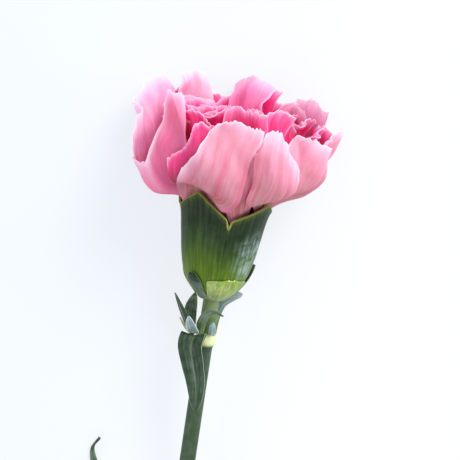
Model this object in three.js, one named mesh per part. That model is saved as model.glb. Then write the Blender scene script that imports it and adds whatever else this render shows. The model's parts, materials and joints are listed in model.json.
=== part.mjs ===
// A cut carnation, laid down on a table: one double flower on a short stem, with its leaves.
// The solids are built in the flower's own frame and then laid down as one group.
//
// Flower frame: the origin is where the calyx meets the stem, x is to the right of the flower's face, y to
// its back, and z is along the stem towards the petals. Azimuth 0 is the face (-y) and 90 is the right-hand
// side (+x). Lengths are in millimetres and angles in degrees.
import * as THREE from "three";

// ---------- Driving dimensions ----------
const STEM_RADIUS = 2.35;
const STEM_LENGTH = 152; // from the calyx to the cut end
const JOINT_RADIUS = 3.1; // of the swollen joint that carries a pair of leaves
const JOINT_HALF = 3.2; // half the length of the swelling
const UPPER_JOINT_Z = -12.5;
const LOWER_JOINT_Z = -87;
const CUT_SLANT = 0.55; // rise over run of the slanting cut

const CALYX_WALL = 0.6;
const PETAL_THICKNESS = 0.34;
const LEAF_THICKNESS = 0.6;
const SEAT_GAP = 0.3; // between pieces that touch

// The pose on the table: the stem's axis rises towards the flower, whose lower petals are pressed flat.
const AXIS_SLOPE = 6.46;
const CALYX_HEIGHT = 19.6; // of the flower frame's origin above the table

// ---------- Small helpers ----------
const HALVINGS = 30; // steps of a search for a place on a curve
const rad = THREE.MathUtils.degToRad;
const smooth = (from, to, x) => THREE.MathUtils.smoothstep(x, from, to);
const splineOf = (points) => new THREE.SplineCurve(points.map(([x, y]) => new THREE.Vector2(x, y)));
const pathOf = (points) =>
  new THREE.CatmullRomCurve3(points.map((p) => new THREE.Vector3(...p)), false, "catmullrom", 0.5);
// A point at this azimuth, radius and height in the flower frame.
const polar = (azimuth, radius, z) =>
  new THREE.Vector3(radius * Math.sin(rad(azimuth)), -radius * Math.cos(rad(azimuth)), z);
// The height above the table of a point in the flower frame, and a point at a given height above the table.
const heightOf = (p) =>
  CALYX_HEIGHT + p.z * Math.sin(rad(AXIS_SLOPE)) - p.y * Math.cos(rad(AXIS_SLOPE));
const atHeight = (x, z, height) => [
  x,
  (CALYX_HEIGHT + z * Math.sin(rad(AXIS_SLOPE)) - height) / Math.cos(rad(AXIS_SLOPE)),
  z,
];

// ---------- Meshes from grids ----------
// A closed mesh from a front and a back grid of points: rows of equal length, joined round their border.
function closedSheet(front, back) {
  const rows = front.length;
  const columns = front[0].length;
  const position = [...front.flat(), ...back.flat()].flatMap((p) => p.toArray());
  const at = (side, row, column) => side * rows * columns + row * columns + column;
  const index = [];
  const quad = (a, b, c, d) => index.push(a, b, c, a, c, d);
  for (let r = 0; r < rows - 1; r++)
    for (let c = 0; c < columns - 1; c++) {
      quad(at(0, r, c), at(0, r, c + 1), at(0, r + 1, c + 1), at(0, r + 1, c));
      quad(at(1, r, c), at(1, r + 1, c), at(1, r + 1, c + 1), at(1, r, c + 1));
    }
  for (let c = 0; c < columns - 1; c++) {
    quad(at(0, 0, c), at(1, 0, c), at(1, 0, c + 1), at(0, 0, c + 1));
    quad(at(0, rows - 1, c), at(0, rows - 1, c + 1), at(1, rows - 1, c + 1), at(1, rows - 1, c));
  }
  for (let r = 0; r < rows - 1; r++) {
    quad(at(0, r, 0), at(0, r + 1, 0), at(1, r + 1, 0), at(1, r, 0));
    quad(at(0, r, columns - 1), at(1, r, columns - 1), at(1, r + 1, columns - 1), at(0, r + 1, columns - 1));
  }
  return geometryOf(position, index);
}

function geometryOf(position, index) {
  const geometry = new THREE.BufferGeometry();
  geometry.setAttribute("position", new THREE.Float32BufferAttribute(position, 3));
  geometry.setIndex(index);
  geometry.computeVertexNormals();
  return geometry;
}

// A thin sheet of one thickness about a grid of middle points.
function thickSheet(grid, thickness) {
  const rows = grid.length;
  const columns = grid[0].length;
  const offset = (side) =>
    grid.map((line, r) =>
      line.map((p, c) => {
        const along = grid[Math.min(r + 1, rows - 1)][c].clone().sub(grid[Math.max(r - 1, 0)][c]);
        const across = line[Math.min(c + 1, columns - 1)].clone().sub(line[Math.max(c - 1, 0)]);
        const normal = across.cross(along).normalize();
        return p.clone().addScaledVector(normal, side * (thickness / 2));
      }),
    );
  return closedSheet(offset(1), offset(-1));
}

// A closed solid lofted through rings of points, with a flat cap on each end.
function loft(rings) {
  const sides = rings[0].length;
  const position = rings.flat().flatMap((p) => p.toArray());
  const index = [];
  for (let r = 0; r < rings.length - 1; r++)
    for (let s = 0; s < sides; s++) {
      const a = r * sides + s;
      const b = r * sides + ((s + 1) % sides);
      index.push(a, b, b + sides, a, b + sides, a + sides);
    }
  const last = (rings.length - 1) * sides;
  for (let s = 1; s < sides - 1; s++) {
    index.push(0, s + 1, s);
    index.push(last, last + s, last + s + 1);
  }
  return geometryOf(position, index);
}

// ---------- Materials ----------
const plain = (color, roughness) => new THREE.MeshStandardMaterial({ color, roughness, metalness: 0 });
const MATERIALS = {
  petal: plain(0xf48fbb, 0.6),
  innerPetal: plain(0xee4f98, 0.6),
  calyx: plain(0x4f6b35, 0.5),
  bract: plain(0xa9b45a, 0.55),
  stem: plain(0x46583f, 0.5),
  leaf: plain(0x3f5546, 0.5),
};

const carnation = new THREE.Group();
const flower = new THREE.Group();
carnation.add(flower);
function add(name, geometry, material) {
  const mesh = new THREE.Mesh(geometry, material);
  mesh.name = name;
  flower.add(mesh);
}

// ---------- Stem: cut end, two swollen joints, and the receptacle inside the calyx ----------
const stemPath = pathOf([
  [4, 0, -STEM_LENGTH],
  [1.2, 0, -122],
  [0, 0, -96],
  [0, 0, -48],
  [0, 0, 0],
]);
const STEM_SIDES = 14;
const jointSwell = (z, joint) =>
  (JOINT_RADIUS - STEM_RADIUS) * (1 - smooth(0, JOINT_HALF, Math.abs(z - joint)));
const stemRadius = (z) => STEM_RADIUS + jointSwell(z, UPPER_JOINT_Z) + jointSwell(z, LOWER_JOINT_Z);
// [radius, height] of the stem's head, from the calyx's foot to the top of the dome that the petals grow
// from.
const RECEPTACLE = [
  [2.5, 0.2],
  [4.0, 1.6],
  [5.5, 3.0],
  [5.9, 3.9],
  [5.6, 4.6],
  [4.4, 5.4],
  [2.8, 6.0],
  [1.0, 6.3],
];

function stemCentre(z) {
  const share = THREE.MathUtils.clamp((z + STEM_LENGTH) / STEM_LENGTH, 0, 1);
  let low = 0;
  let high = 1;
  for (let step = 0; step < HALVINGS; step++) {
    const middle = (low + high) / 2;
    if (stemPath.getPoint(middle).z < -STEM_LENGTH * (1 - share)) low = middle;
    else high = middle;
  }
  return stemPath.getPoint(low);
}

function stemRing(centre, radius, slant) {
  return Array.from({ length: STEM_SIDES }, (_, k) => {
    const p = polar(-360 * (k / STEM_SIDES), radius, 0);
    return new THREE.Vector3(centre.x + p.x, centre.y + p.y, centre.z + slant * p.y);
  }).reverse();
}

// The heights of the rings away from the joints, and the places of the rings on a joint as shares of its half.
const PLAIN_HEIGHTS = [-STEM_LENGTH, -146, -130, -110, -70, -50, -30, -6, -2];
const JOINT_STEPS = [-1, -0.55, 0, 0.55, 1];

function stem() {
  const onJoints = [LOWER_JOINT_Z, UPPER_JOINT_Z].flatMap((joint) =>
    JOINT_STEPS.map((step) => joint + step * JOINT_HALF),
  );
  const heights = [...PLAIN_HEIGHTS, ...onJoints].sort((a, b) => a - b);
  const rings = heights.map((z, i) => stemRing(stemCentre(z), stemRadius(z), i === 0 ? -CUT_SLANT : 0));
  for (const [radius, z] of RECEPTACLE) rings.push(stemRing(new THREE.Vector3(0, 0, z), radius, 0));
  return loft(rings);
}
add("stem", stem(), MATERIALS.stem);

// ---------- Calyx: a tapering green cup whose rim is cut into five teeth ----------
// [radius, height] of the outer wall.
const CALYX_PROFILE = splineOf([
  [3.5, 0],
  [6.6, 2.9],
  [9.2, 7.2],
  [10.6, 12.4],
  [11.5, 18.2],
  [12.4, 24.2],
  [14.1, 33],
]);
const CALYX_FOOT_THICKNESS = 0.25;
// Each notch's azimuth and height, and the tip's azimuth and height of the tooth that follows it.
const TEETH = [
  { notch: 9, depth: 25.2, tip: 62, top: 30.6 },
  { notch: 98, depth: 26.4, tip: 131, top: 30.6 },
  { notch: 163, depth: 25.6, tip: 192, top: 31 },
  { notch: 222, depth: 26, tip: 254, top: 29.6 },
  { notch: 286, depth: 26.6, tip: 327, top: 32.4 },
];
const TOOTH_COLUMNS = 8;
const CALYX_ROWS = [0, 0.09, 0.2, 0.34, 0.5, 0.66, 0.82, 1];

function calyxRadius(z) {
  let low = 0;
  let high = 1;
  for (let step = 0; step < HALVINGS; step++) {
    const middle = (low + high) / 2;
    if (CALYX_PROFILE.getPoint(middle).y < z) low = middle;
    else high = middle;
  }
  return CALYX_PROFILE.getPoint(low).x;
}

// How fast the calyx widens at a height, in mm per mm.
const SLOPE_STEP = 0.2;
const calyxSlope = (z) => (calyxRadius(z + SLOPE_STEP) - calyxRadius(z)) / SLOPE_STEP;

// The rim as [azimuth, height] pairs, once round, with straight-edged teeth.
function calyxRim() {
  const rim = [];
  TEETH.forEach((tooth, i) => {
    const next = TEETH[(i + 1) % TEETH.length];
    const end = next.notch + (i === TEETH.length - 1 ? 360 : 0);
    for (let c = 0; c < TOOTH_COLUMNS; c++) {
      const half = TOOTH_COLUMNS / 2;
      const rising = c < half;
      const share = rising ? c / half : (c - half) / half;
      const from = rising ? tooth.notch : tooth.tip;
      const to = rising ? tooth.tip : end;
      const low = rising ? tooth.depth : next.depth;
      const height = THREE.MathUtils.lerp(low, tooth.top, rising ? share : 1 - share);
      rim.push([from + (to - from) * share, height]);
    }
  });
  return rim;
}

function calyx() {
  const rim = calyxRim();
  const wall = (inset) =>
    CALYX_ROWS.map((share) =>
      rim.map(([azimuth, height]) => {
        const z = share * height;
        return polar(azimuth, calyxRadius(z) - inset, z);
      }),
    );
  const outer = wall(0);
  const inner = wall(CALYX_WALL);
  inner[0].forEach((p) => p.setZ(CALYX_FOOT_THICKNESS));
  const rings = [...outer, ...inner.reverse()];
  const sides = rim.length;
  const index = [];
  for (let r = 0; r < rings.length; r++) {
    const up = (r + 1) % rings.length;
    for (let s = 0; s < sides; s++) {
      const t = (s + 1) % sides;
      index.push(r * sides + s, r * sides + t, up * sides + t, r * sides + s, up * sides + t, up * sides + s);
    }
  }
  return geometryOf(rings.flat().flatMap((p) => p.toArray()), index);
}
add("calyx", calyx(), MATERIALS.calyx);

// ---------- Bracts: four short scales round the foot of the calyx ----------
// half: half the width in mm, but no more than so many degrees to each side. lift and tipLift: how far the
// scale and its tip stand off the calyx. square: the share of the length where the tip starts to round.
// droop: how much lower the tip's sides are.
const BRACTS = [
  {
    name: "bract_front_left",
    azimuth: -38, half: 2.6, most: 26, top: 8.6, lift: 0.5, tipLift: 0.3, square: 0.7, droop: 0.1,
  },
  {
    name: "bract_front_right",
    azimuth: 31, half: 7.2, most: 43, top: 7.6, lift: 0.45, square: 0.86, droop: 0.05,
  },
  { name: "bract_right", azimuth: 103, half: 3.4, most: 25, top: 10.8, lift: 0.5, tipLift: 0.3 },
  { name: "bract_back", azimuth: 218, half: 8, most: 52, top: 10.6, lift: 0.45, tipLift: 0.2 },
];
const BRACT_THICKNESS = 0.45;
const BRACT_FOOT_Z = 0.2;
const BRACT_FLARE = 0.02; // how much a scale leans away from the calyx, per mm of height
const BRACT_TIP = 0.16; // the share of its width that the tip keeps, squared
const BRACT_ROWS = 7;
const BRACT_COLUMNS = 6;

function bract({ azimuth, half, most, top, lift, tipLift = 0, square = 0.55, droop = 0.22 }) {
  // Both faces follow the calyx's own slope, right out to the corners of the tip.
  const face = (side) => Array.from({ length: BRACT_ROWS + 1 }, (_, r) => {
    const share = r / BRACT_ROWS;
    const rounded = Math.max(0, (share - square) / (1 - square));
    const narrowing = Math.sqrt(1 - (1 - BRACT_TIP) * rounded ** 2);
    return Array.from({ length: BRACT_COLUMNS + 1 }, (_, c) => {
      const u = (2 * c) / BRACT_COLUMNS - 1;
      const drop = droop * (u * narrowing) ** 2 * share;
      const height = BRACT_FOOT_Z + (top - BRACT_FOOT_Z) * share * (1 - drop);
      const radius = calyxRadius(height) + height * BRACT_FLARE + lift + tipLift * share ** 3;
      const spread = Math.min(THREE.MathUtils.radToDeg(half / radius), most) * narrowing;
      const slope = calyxSlope(height);
      const out = (side * BRACT_THICKNESS) / 2 / Math.hypot(1, slope);
      return polar(azimuth + u * spread, radius + out, height - out * slope);
    });
  });
  return closedSheet(face(1), face(-1));
}
for (const { name, ...spec } of BRACTS) add(name, bract(spec), MATERIALS.bract);

// ---------- Leaves: narrow gutters that start wrapped round the stem ----------
// path: the middle line, from the foot to the tip. side: the direction across the leaf at even steps along
// it. width and foot: across the blade and its foot, in mm. gutter and wrap: the angle of arc there. point:
// how pointed.
const WIDEST = 0.25; // the share of the length where the blade is widest
const TIP_WIDTH = 0.09; // of the full width
const TIGHTEST = 1; // the radius of the tightest gutter, in thicknesses of the blade

function leaf(spec) {
  const { path, side, width, foot, wrap, gutter, point = 0.5 } = spec;
  const { thickness = LEAF_THICKNESS, rows = 9, columns = 4 } = spec;
  const line = pathOf(path);
  const grid = [];
  for (let r = 0; r <= rows; r++) {
    const v = r / rows;
    const centre = line.getPoint(v);
    const along = line.getTangent(v);
    const stretch = Math.min(Math.floor(v * (side.length - 1)), side.length - 2);
    const across = new THREE.Vector3(...side[stretch]).lerp(
      new THREE.Vector3(...side[stretch + 1]),
      v * (side.length - 1) - stretch,
    );
    across.addScaledVector(along, -across.dot(along)).normalize();
    const up = across.clone().cross(along).normalize();
    const opened = smooth(0, WIDEST, v);
    const taper = (1 - Math.max(0, (v - WIDEST) / (1 - WIDEST)) ** 2) ** point;
    const full = THREE.MathUtils.lerp(foot, width * Math.max(TIP_WIDTH, taper), opened);
    const bend = rad(THREE.MathUtils.lerp(wrap, gutter, opened));
    const radius = Math.max(full / bend, thickness * TIGHTEST);
    const arc = full / radius;
    grid.push(
      Array.from({ length: columns + 1 }, (_, c) => {
        const angle = ((2 * c) / columns - 1) * (arc / 2);
        return centre
          .clone()
          .addScaledVector(across, radius * Math.sin(angle))
          .addScaledVector(up, radius * (1 - Math.cos(angle)));
      }),
    );
  }
  return thickSheet(grid, thickness);
}

const FOOT_CLEARANCE = 0.15;
// From the stem's axis to the foot of a leaf.
const HOLD = JOINT_RADIUS + SEAT_GAP + LEAF_THICKNESS / 2 + FOOT_CLEARANCE;
const LEAVES = [
  {
    name: "upper_leaf_front",
    path: [
      [-0.3, -HOLD, -15.4],
      [-1.1, -HOLD - 0.4, -12.2],
      [-3.1, -HOLD - 2.1, -10.6],
      [-4.1, -HOLD - 3.3, -13.2],
      [-2.7, -HOLD - 3.1, -18.2],
      [-1.2, -HOLD - 2.7, -23.2],
      [-0.3, -HOLD - 2.3, -28.2],
      [0.1, -HOLD - 2, -33],
    ],
    side: [[-1, 0, 0], [-0.97, 0.1, -0.2], [-0.99, 0.1, -0.1]],
    width: 7.2,
    foot: 5,
    wrap: 80,
    gutter: 42,
    rows: 13,
  },
  {
    name: "upper_leaf_back",
    path: [
      [0.2, HOLD, -15.2],
      [0.5, HOLD + 0.3, -11.5],
      [1, HOLD + 1, -7],
      [2.6, HOLD + 1.7, -2.6],
      [5.6, HOLD + 1.9, -0.4],
      [8.8, HOLD + 1.2, 0.8],
    ],
    side: [[1, 0, 0], [0.9, -0.1, -0.3], [0.3, -0.2, -0.9]],
    width: 4.8,
    foot: 5,
    wrap: 80,
    gutter: 40,
  },
  {
    name: "lower_leaf_left",
    path: [
      [-HOLD, 0, -90],
      [-HOLD - 0.5, 0.4, -86.4],
      atHeight(-10.5, -81, 6.6),
      atHeight(-18.5, -73.5, 2.2),
      atHeight(-25, -63.6, 0.5),
      atHeight(-28.2, -54.2, 1.4),
      atHeight(-26, -48.9, 3.8),
    ],
    side: [[0, 1, 0], [0.15, 0.8, 0.3], [0.6, 0.05, 0.7], [0.8, 0, 0.4], [0.9, 0, -0.4]],
    width: 5.4,
    foot: 5.4,
    wrap: 90,
    gutter: 50,
    point: 1,
    rows: 12,
  },
  {
    name: "lower_leaf_right",
    path: [
      [HOLD, 0, -90],
      [HOLD + 0.5, 0.4, -86.4],
      atHeight(12.5, -82, 8),
      atHeight(24, -85, 3.6),
      atHeight(35.5, -94, 0.8),
      atHeight(42.5, -105, 0.6),
      atHeight(43, -115, 3.4),
    ],
    side: [[0, -1, 0], [-0.1, -0.8, -0.4], [-0.5, 0, -0.8], [-0.8, 0, -0.5], [-1, 0, 0]],
    width: 5.8,
    foot: 5.4,
    wrap: 90,
    gutter: 50,
    point: 1,
    rows: 12,
  },
];
for (const { name, ...spec } of LEAVES) add(name, leaf(spec), MATERIALS.leaf);

// ---------- Side shoot: a bud in the joint of the front leaf, with five small leaves and a dry scale ----------
const SHOOT = { thickness: 0.42, rows: 6, columns: 4, wrap: 80, gutter: 70, foot: 1.7, point: 0.8 };
const SHOOT_LEAVES = [
  {
    name: "side_leaf_1",
    path: [[-4, -3.9, -10.8], [-5.8, -5.4, -7.4], [-8, -6.4, -3.2], [-10.4, -6.8, 1.4]],
    side: [[-0.4, 0.7, -0.5], [-0.6, 0.5, -0.6]],
    width: 2.8,
  },
  {
    name: "side_leaf_2",
    path: [[-3.9, -1.9, -10.8], [-4.9, -2.2, -7.4], [-5.3, -3.4, -3.4], [-5, -5.4, -0.1], [-4.6, -7.7, 2.8]],
    side: [[0.7, -0.7, 0.1], [0.95, -0.3, 0.1], [0.95, -0.3, 0.2]],
    width: 4.2,
  },
  {
    name: "side_leaf_3",
    path: [[-3, -5.7, -9.8], [-4.1, -7.3, -8], [-5.2, -8.4, -6], [-5.9, -9.3, -4.2]],
    side: [[-0.8, 0.3, -0.2], [-0.95, 0.2, -0.3]],
    width: 3.4,
    point: 0.4,
  },
  {
    name: "side_leaf_4",
    path: [[-1.6, -5.3, -9.8], [-1.7, -7, -6.4], [-0.4, -8.2, -3], [1.8, -8.5, -2.2], [4.2, -8.2, -3]],
    side: [[-0.8, -0.2, 0.2], [-0.6, -0.4, 0.5], [-0.2, -0.6, 0.75]],
    width: 2.8,
  },
  {
    name: "side_leaf_5",
    path: [[2.3, -4, -10.3], [2.3, -4.6, -8.8], [2.4, -5.2, -7.3], [2.5, -5.8, -5.8]],
    side: [[-0.9, 0.2, 0.1], [-0.9, 0.2, 0.1]],
    width: 2.2,
  },
  {
    name: "dry_scale",
    path: [[-3.8, -0.4, -12.4], [-5.2, -0.6, -11], [-6.8, -0.9, -9.2], [-8.2, -1.2, -7]],
    side: [[-0.4, 0.8, -0.4], [-0.5, 0.7, -0.5]],
    width: 1.6,
  },
];
for (const { name, ...spec } of SHOOT_LEAVES) add(name, leaf({ ...SHOOT, ...spec }), MATERIALS.leaf);

// ---------- Petals ----------
// The bloom is a fan of nested shells. Layer 1 is the outermost shell and layer 0 the narrow tube round the
// axis. Station 0 is on the receptacle, and station 1 is past the longest petal's tip. OUTER_SHELL and
// INNER_SHELL give [radius, height] at even stations.
const OUTER_SHELL = splineOf([
  [5.7, 5.05],
  [8.5, 9.2],
  [9.8, 14],
  [10.3, 19],
  [10.7, 24],
  [11.8, 28.6],
  [16.8, 31.6],
  [22.8, 34.2],
  [26.2, 38.8],
  [27.4, 44.6],
  [28.4, 50.6],
  [29.6, 56.6],
  [30.8, 62.6],
]);
const INNER_SHELL = splineOf([
  [2, 6.7],
  [1.9, 11.4],
  [1.7, 16.4],
  [1.4, 21.8],
  [1.1, 27.4],
  [0.9, 32.8],
  [0.8, 37.8],
  [0.7, 42.4],
  [0.6, 46.8],
  [0.6, 51],
  [0.6, 55.4],
  [0.6, 60],
  [0.6, 65],
]);
// The petals bend outwards over the calyx's rim, which is higher at its teeth. RIM_MEAN is its mean height.
const RIM_MEAN = 28;
// Two wavering shears make the petals lie unevenly. A shear never brings two petals through each other.
const WAVER = { from: 29, to: 44, size: 1.0, pitch: 0.36, climb: 0.12 };
// On one side the petals hang lower and bulge.
const SAG = { azimuth: 285, width: 34, depth: 3.5, bulge: 1.4 };
// The petals underneath are pressed against the table.
const PRESS = { from: 7, depth: 20.5 };

// The height of the rim at an azimuth, without its points.
function rimHeight(azimuth) {
  const turn = THREE.MathUtils.euclideanModulo(azimuth - TEETH[0].notch, 360) + TEETH[0].notch;
  for (let i = TEETH.length - 1; i >= 0; i--) {
    const { notch, depth, tip, top } = TEETH[i];
    if (turn < notch) continue;
    const first = { notch: TEETH[0].notch + 360, depth: TEETH[0].depth };
    const next = TEETH[i + 1] ?? first;
    if (turn < tip) return THREE.MathUtils.lerp(depth, top, smooth(notch, tip, turn));
    return THREE.MathUtils.lerp(top, next.depth, smooth(tip, next.notch, turn));
  }
  return RIM_MEAN;
}

function bloomPoint(layer, azimuth, station) {
  const outer = OUTER_SHELL.getPoint(Math.min(station, 1));
  const inner = INNER_SHELL.getPoint(Math.min(station, 1));
  const follow = smooth(0.28, 0.42, station) * (1 - smooth(0.46, 0.7, station));
  const aside = (THREE.MathUtils.euclideanModulo(azimuth - SAG.azimuth + 180, 360) - 180) / SAG.width;
  const sag = Math.exp(-aside * aside) * smooth(0.45, 0.56, station) * (1 - smooth(0.6, 0.95, station));
  const lifted = outer.y + (rimHeight(azimuth) - RIM_MEAN) * follow - SAG.depth * sag;
  const widened = outer.x + SAG.bulge * sag;
  const p = polar(
    azimuth,
    THREE.MathUtils.lerp(inner.x, widened, layer),
    THREE.MathUtils.lerp(inner.y, lifted, layer),
  );
  const loose = WAVER.size * smooth(WAVER.from, WAVER.to, p.z);
  p.x += loose * Math.sin(WAVER.pitch * p.y + WAVER.climb * p.z);
  p.y += loose * Math.sin(WAVER.pitch * p.x + WAVER.climb * p.z + 2);
  const sunk = Math.max(0, PRESS.from - heightOf(p));
  p.y += (sunk / (1 + sunk / PRESS.depth) - sunk) / Math.cos(rad(AXIS_SLOPE));
  return p;
}

// foot: the azimuth of the petal's foot. turn and sweep: how much further round its blade, and then its
// tip, stands. half: half its width. widens: the stations between which the claw widens to the blade.
// layers and tops: the layer, and the station of the upper edge, across the blade. curl: the change of
// layer from the bend to the tip.
const CLAW_HALF = 0.9;
const CLAW_STATIONS = [0, 0.16, 0.31, 0.39, 0.45, 0.52];
const BLADE_SHARES = [0.25, 0.5, 0.76, 1];

// A value across the blade, where u goes from -1 to 1: an arc through three values, or a curve through more
// of them.
function acrossBlade(values, u) {
  if (values.length > 3) return splineOf(values.map((value) => [value, 0])).getPoint((u + 1) / 2).x;
  const [left, middle, right] = values;
  return middle + ((right - left) / 2) * u + ((right + left) / 2 - middle) * u * u;
}

function petal(spec) {
  const { foot, turn = 0, sweep = 0, half, layers, tops, curl = 0 } = spec;
  const { widens = [0.38, 0.68], columns = 6 } = spec;
  const bend = CLAW_STATIONS.at(-1);
  const rowStation = (row, top) =>
    row < CLAW_STATIONS.length
      ? CLAW_STATIONS[row]
      : THREE.MathUtils.lerp(bend, top, BLADE_SHARES[row - CLAW_STATIONS.length]);
  const grid = Array.from({ length: CLAW_STATIONS.length + BLADE_SHARES.length }, (_, row) =>
    Array.from({ length: columns + 1 }, (_, c) => {
      const u = (2 * c) / columns - 1;
      const station = rowStation(row, acrossBlade(tops, u));
      const open = smooth(0.28, 0.46, station);
      const width = THREE.MathUtils.lerp(CLAW_HALF, half, smooth(...widens, station));
      const curled = curl * smooth(bend, 1, station);
      const layer = THREE.MathUtils.lerp(layers[1], acrossBlade(layers, u), open) + curled;
      const radius = THREE.MathUtils.lerp(
        INNER_SHELL.getPoint(Math.min(station, 1)).x,
        OUTER_SHELL.getPoint(Math.min(station, 1)).x,
        layer,
      );
      const turned = turn * smooth(0.3, 0.6, station) + sweep * smooth(0.5, 1, station);
      return bloomPoint(layer, foot + THREE.MathUtils.radToDeg((u * width) / radius) + turned, station);
    }),
  );
  return thickSheet(grid, PETAL_THICKNESS);
}

// The guard petals, from the face of the flower round to its right.
const GUARD_PETALS = [
  { foot: -14, sweep: 10, half: 8.6, layers: [0.995, 0.99, 0.98], tops: [0.7, 0.87, 0.925, 0.905, 0.91],
    widens: [0.34, 0.6] },
  { foot: 14, turn: -10, half: 4.5, layers: [0.9, 0.9, 0.9], tops: [0.78, 0.8, 0.76] },
  { foot: 43, turn: -10, sweep: -6, half: 8, layers: [0.945, 0.985, 0.985],
    tops: [0.905, 0.895, 0.86, 0.79, 0.74] },
  { foot: 66, turn: -6, half: 10.5, layers: [0.925, 0.95, 0.985], tops: [0.86, 0.845, 0.78] },
  { foot: 97, turn: -1, half: 9.5, layers: [0.93, 0.955, 0.985], tops: [0.83, 0.875, 0.83] },
  { foot: 127, half: 10, layers: [0.93, 0.955, 0.98], tops: [0.86, 0.89, 0.87] },
  { foot: 156, half: 8.8, layers: [0.93, 0.955, 0.98], tops: [0.88, 0.9, 0.88] },
  { foot: 183, half: 10, layers: [0.93, 0.955, 0.98], tops: [0.86, 0.9, 0.88] },
  { foot: 212, half: 9, layers: [0.93, 0.93, 0.92], tops: [0.9, 0.92, 0.9] },
  { foot: 245, turn: 3, half: 12.5, layers: [0.98, 0.945, 0.905], tops: [0.95, 0.95, 0.89, 0.82, 0.72],
    curl: 0.02 },
  { foot: 284, turn: 2, sweep: 11, half: 16, layers: [0.985, 0.935, 0.88],
    tops: [0.68, 0.68, 0.69, 0.69, 0.72, 0.955, 0.985], columns: 10 },
  { foot: 325, turn: 3, half: 5.2, layers: [0.93, 0.925, 0.92], tops: [0.72, 0.77, 0.82, 0.885, 0.885] },
];
const GUARD_COLUMNS = 8;
GUARD_PETALS.forEach((spec, i) =>
  add(`guard_petal_${i + 1}`, petal({ columns: GUARD_COLUMNS, ...spec }), MATERIALS.petal));

// The inner rings, from the guard petals to the heart: a layer, how much each petal lies across the layers,
// and for each petal the azimuth of its foot, half its width and its three tops.
const TILT = 0.03;
const HEART_TILT = 0.026;
const RINGS = [
  {
    name: "second", layer: 0.81, tilt: TILT, material: MATERIALS.petal,
    petals: [
      [8, 6.3, 0.925, 0.945, 0.94], [32, 4.2, 0.91, 0.94, 0.91], [70, 8, 0.87, 0.9, 0.87],
      [121, 10.3, 0.93, 0.945, 0.93], [150, 8, 0.87, 0.9, 0.87], [184, 9, 0.85, 0.88, 0.85],
      [217, 4.4, 0.968, 0.982, 0.982], [306, 5, 0.83, 0.86, 0.83], [336, 7, 0.91, 0.91, 0.87],
    ],
  },
  {
    name: "third", layer: 0.66, tilt: TILT, material: MATERIALS.petal,
    petals: [
      [-24, 7, 0.89, 0.9, 0.935], [34, 7, 0.87, 0.9, 0.87], [68, 8, 0.88, 0.9, 0.88],
      [130, 6.5, 0.92, 0.925, 0.9], [160, 3.6, 0.935, 0.94, 0.91], [185, 8, 0.87, 0.88, 0.86],
      [232, 8, 0.88, 0.9, 0.89], [285, 8, 0.86, 0.89, 0.87],
    ],
  },
  {
    name: "fourth", layer: 0.5, tilt: TILT, material: MATERIALS.innerPetal,
    petals: [
      [170, 6, 0.995, 0.995, 0.98], [230, 8, 0.86, 0.88, 0.86], [290, 8, 0.84, 0.87, 0.85],
      [350, 8, 0.83, 0.86, 0.84], [50, 8, 0.84, 0.87, 0.84], [110, 8, 0.85, 0.88, 0.86],
    ],
  },
  {
    name: "fifth", layer: 0.345, tilt: HEART_TILT, material: MATERIALS.innerPetal, columns: 5,
    petals: [-30, 42, 114, 186, 258].map((foot) => [foot, 6.4, 0.83, 0.86, 0.84]),
  },
  {
    name: "heart", layer: 0.19, tilt: HEART_TILT, material: MATERIALS.innerPetal, columns: 5,
    petals: [15, 135, 255].map((foot) => [foot, 5, 0.82, 0.85, 0.83]),
  },
];
// An uneven share from -1 to 1 for the n-th petal, so that no two stand alike.
const uneven = (n, k) => Math.sin(n * 12.9898 + k * 78.233) * Math.cos(n * 4.1414 + k * 2.39);
const RING_TURN = 3; // the most that a petal of a ring stands askew
let count = GUARD_PETALS.length;
for (const { name, layer, tilt, material, columns, petals } of RINGS)
  petals.forEach(([foot, half, ...tops], i) => {
    count++;
    const layers = [layer - tilt, layer, layer + tilt];
    const spec = { foot, turn: RING_TURN * uneven(count, 3), half, layers, tops, columns };
    add(`${name}_petal_${i + 1}`, petal(spec), material);
  });

// ---------- Laid down on the table ----------
// The origin is on the table, under the middle of the object.
flower.rotation.x = rad(AXIS_SLOPE - 90);
const middle = new THREE.Box3().setFromObject(carnation, true).getCenter(new THREE.Vector3());
flower.position.set(-middle.x, -middle.y, CALYX_HEIGHT);

export default carnation;
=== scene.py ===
# %% [markdown]
# # A cut carnation, laid down on a table
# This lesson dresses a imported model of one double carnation. The solids already say where every petal,
# leaf and scale is. The lesson makes a fine version of each piece in the same place: thin ruffled petals,
# a ribbed calyx, waxy leaves and a jointed stem. It then lights the flower softly and looks down at its
# face.

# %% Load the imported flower
import json
import math

import bpy
import numpy as np
from mathutils import Matrix, Vector

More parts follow.
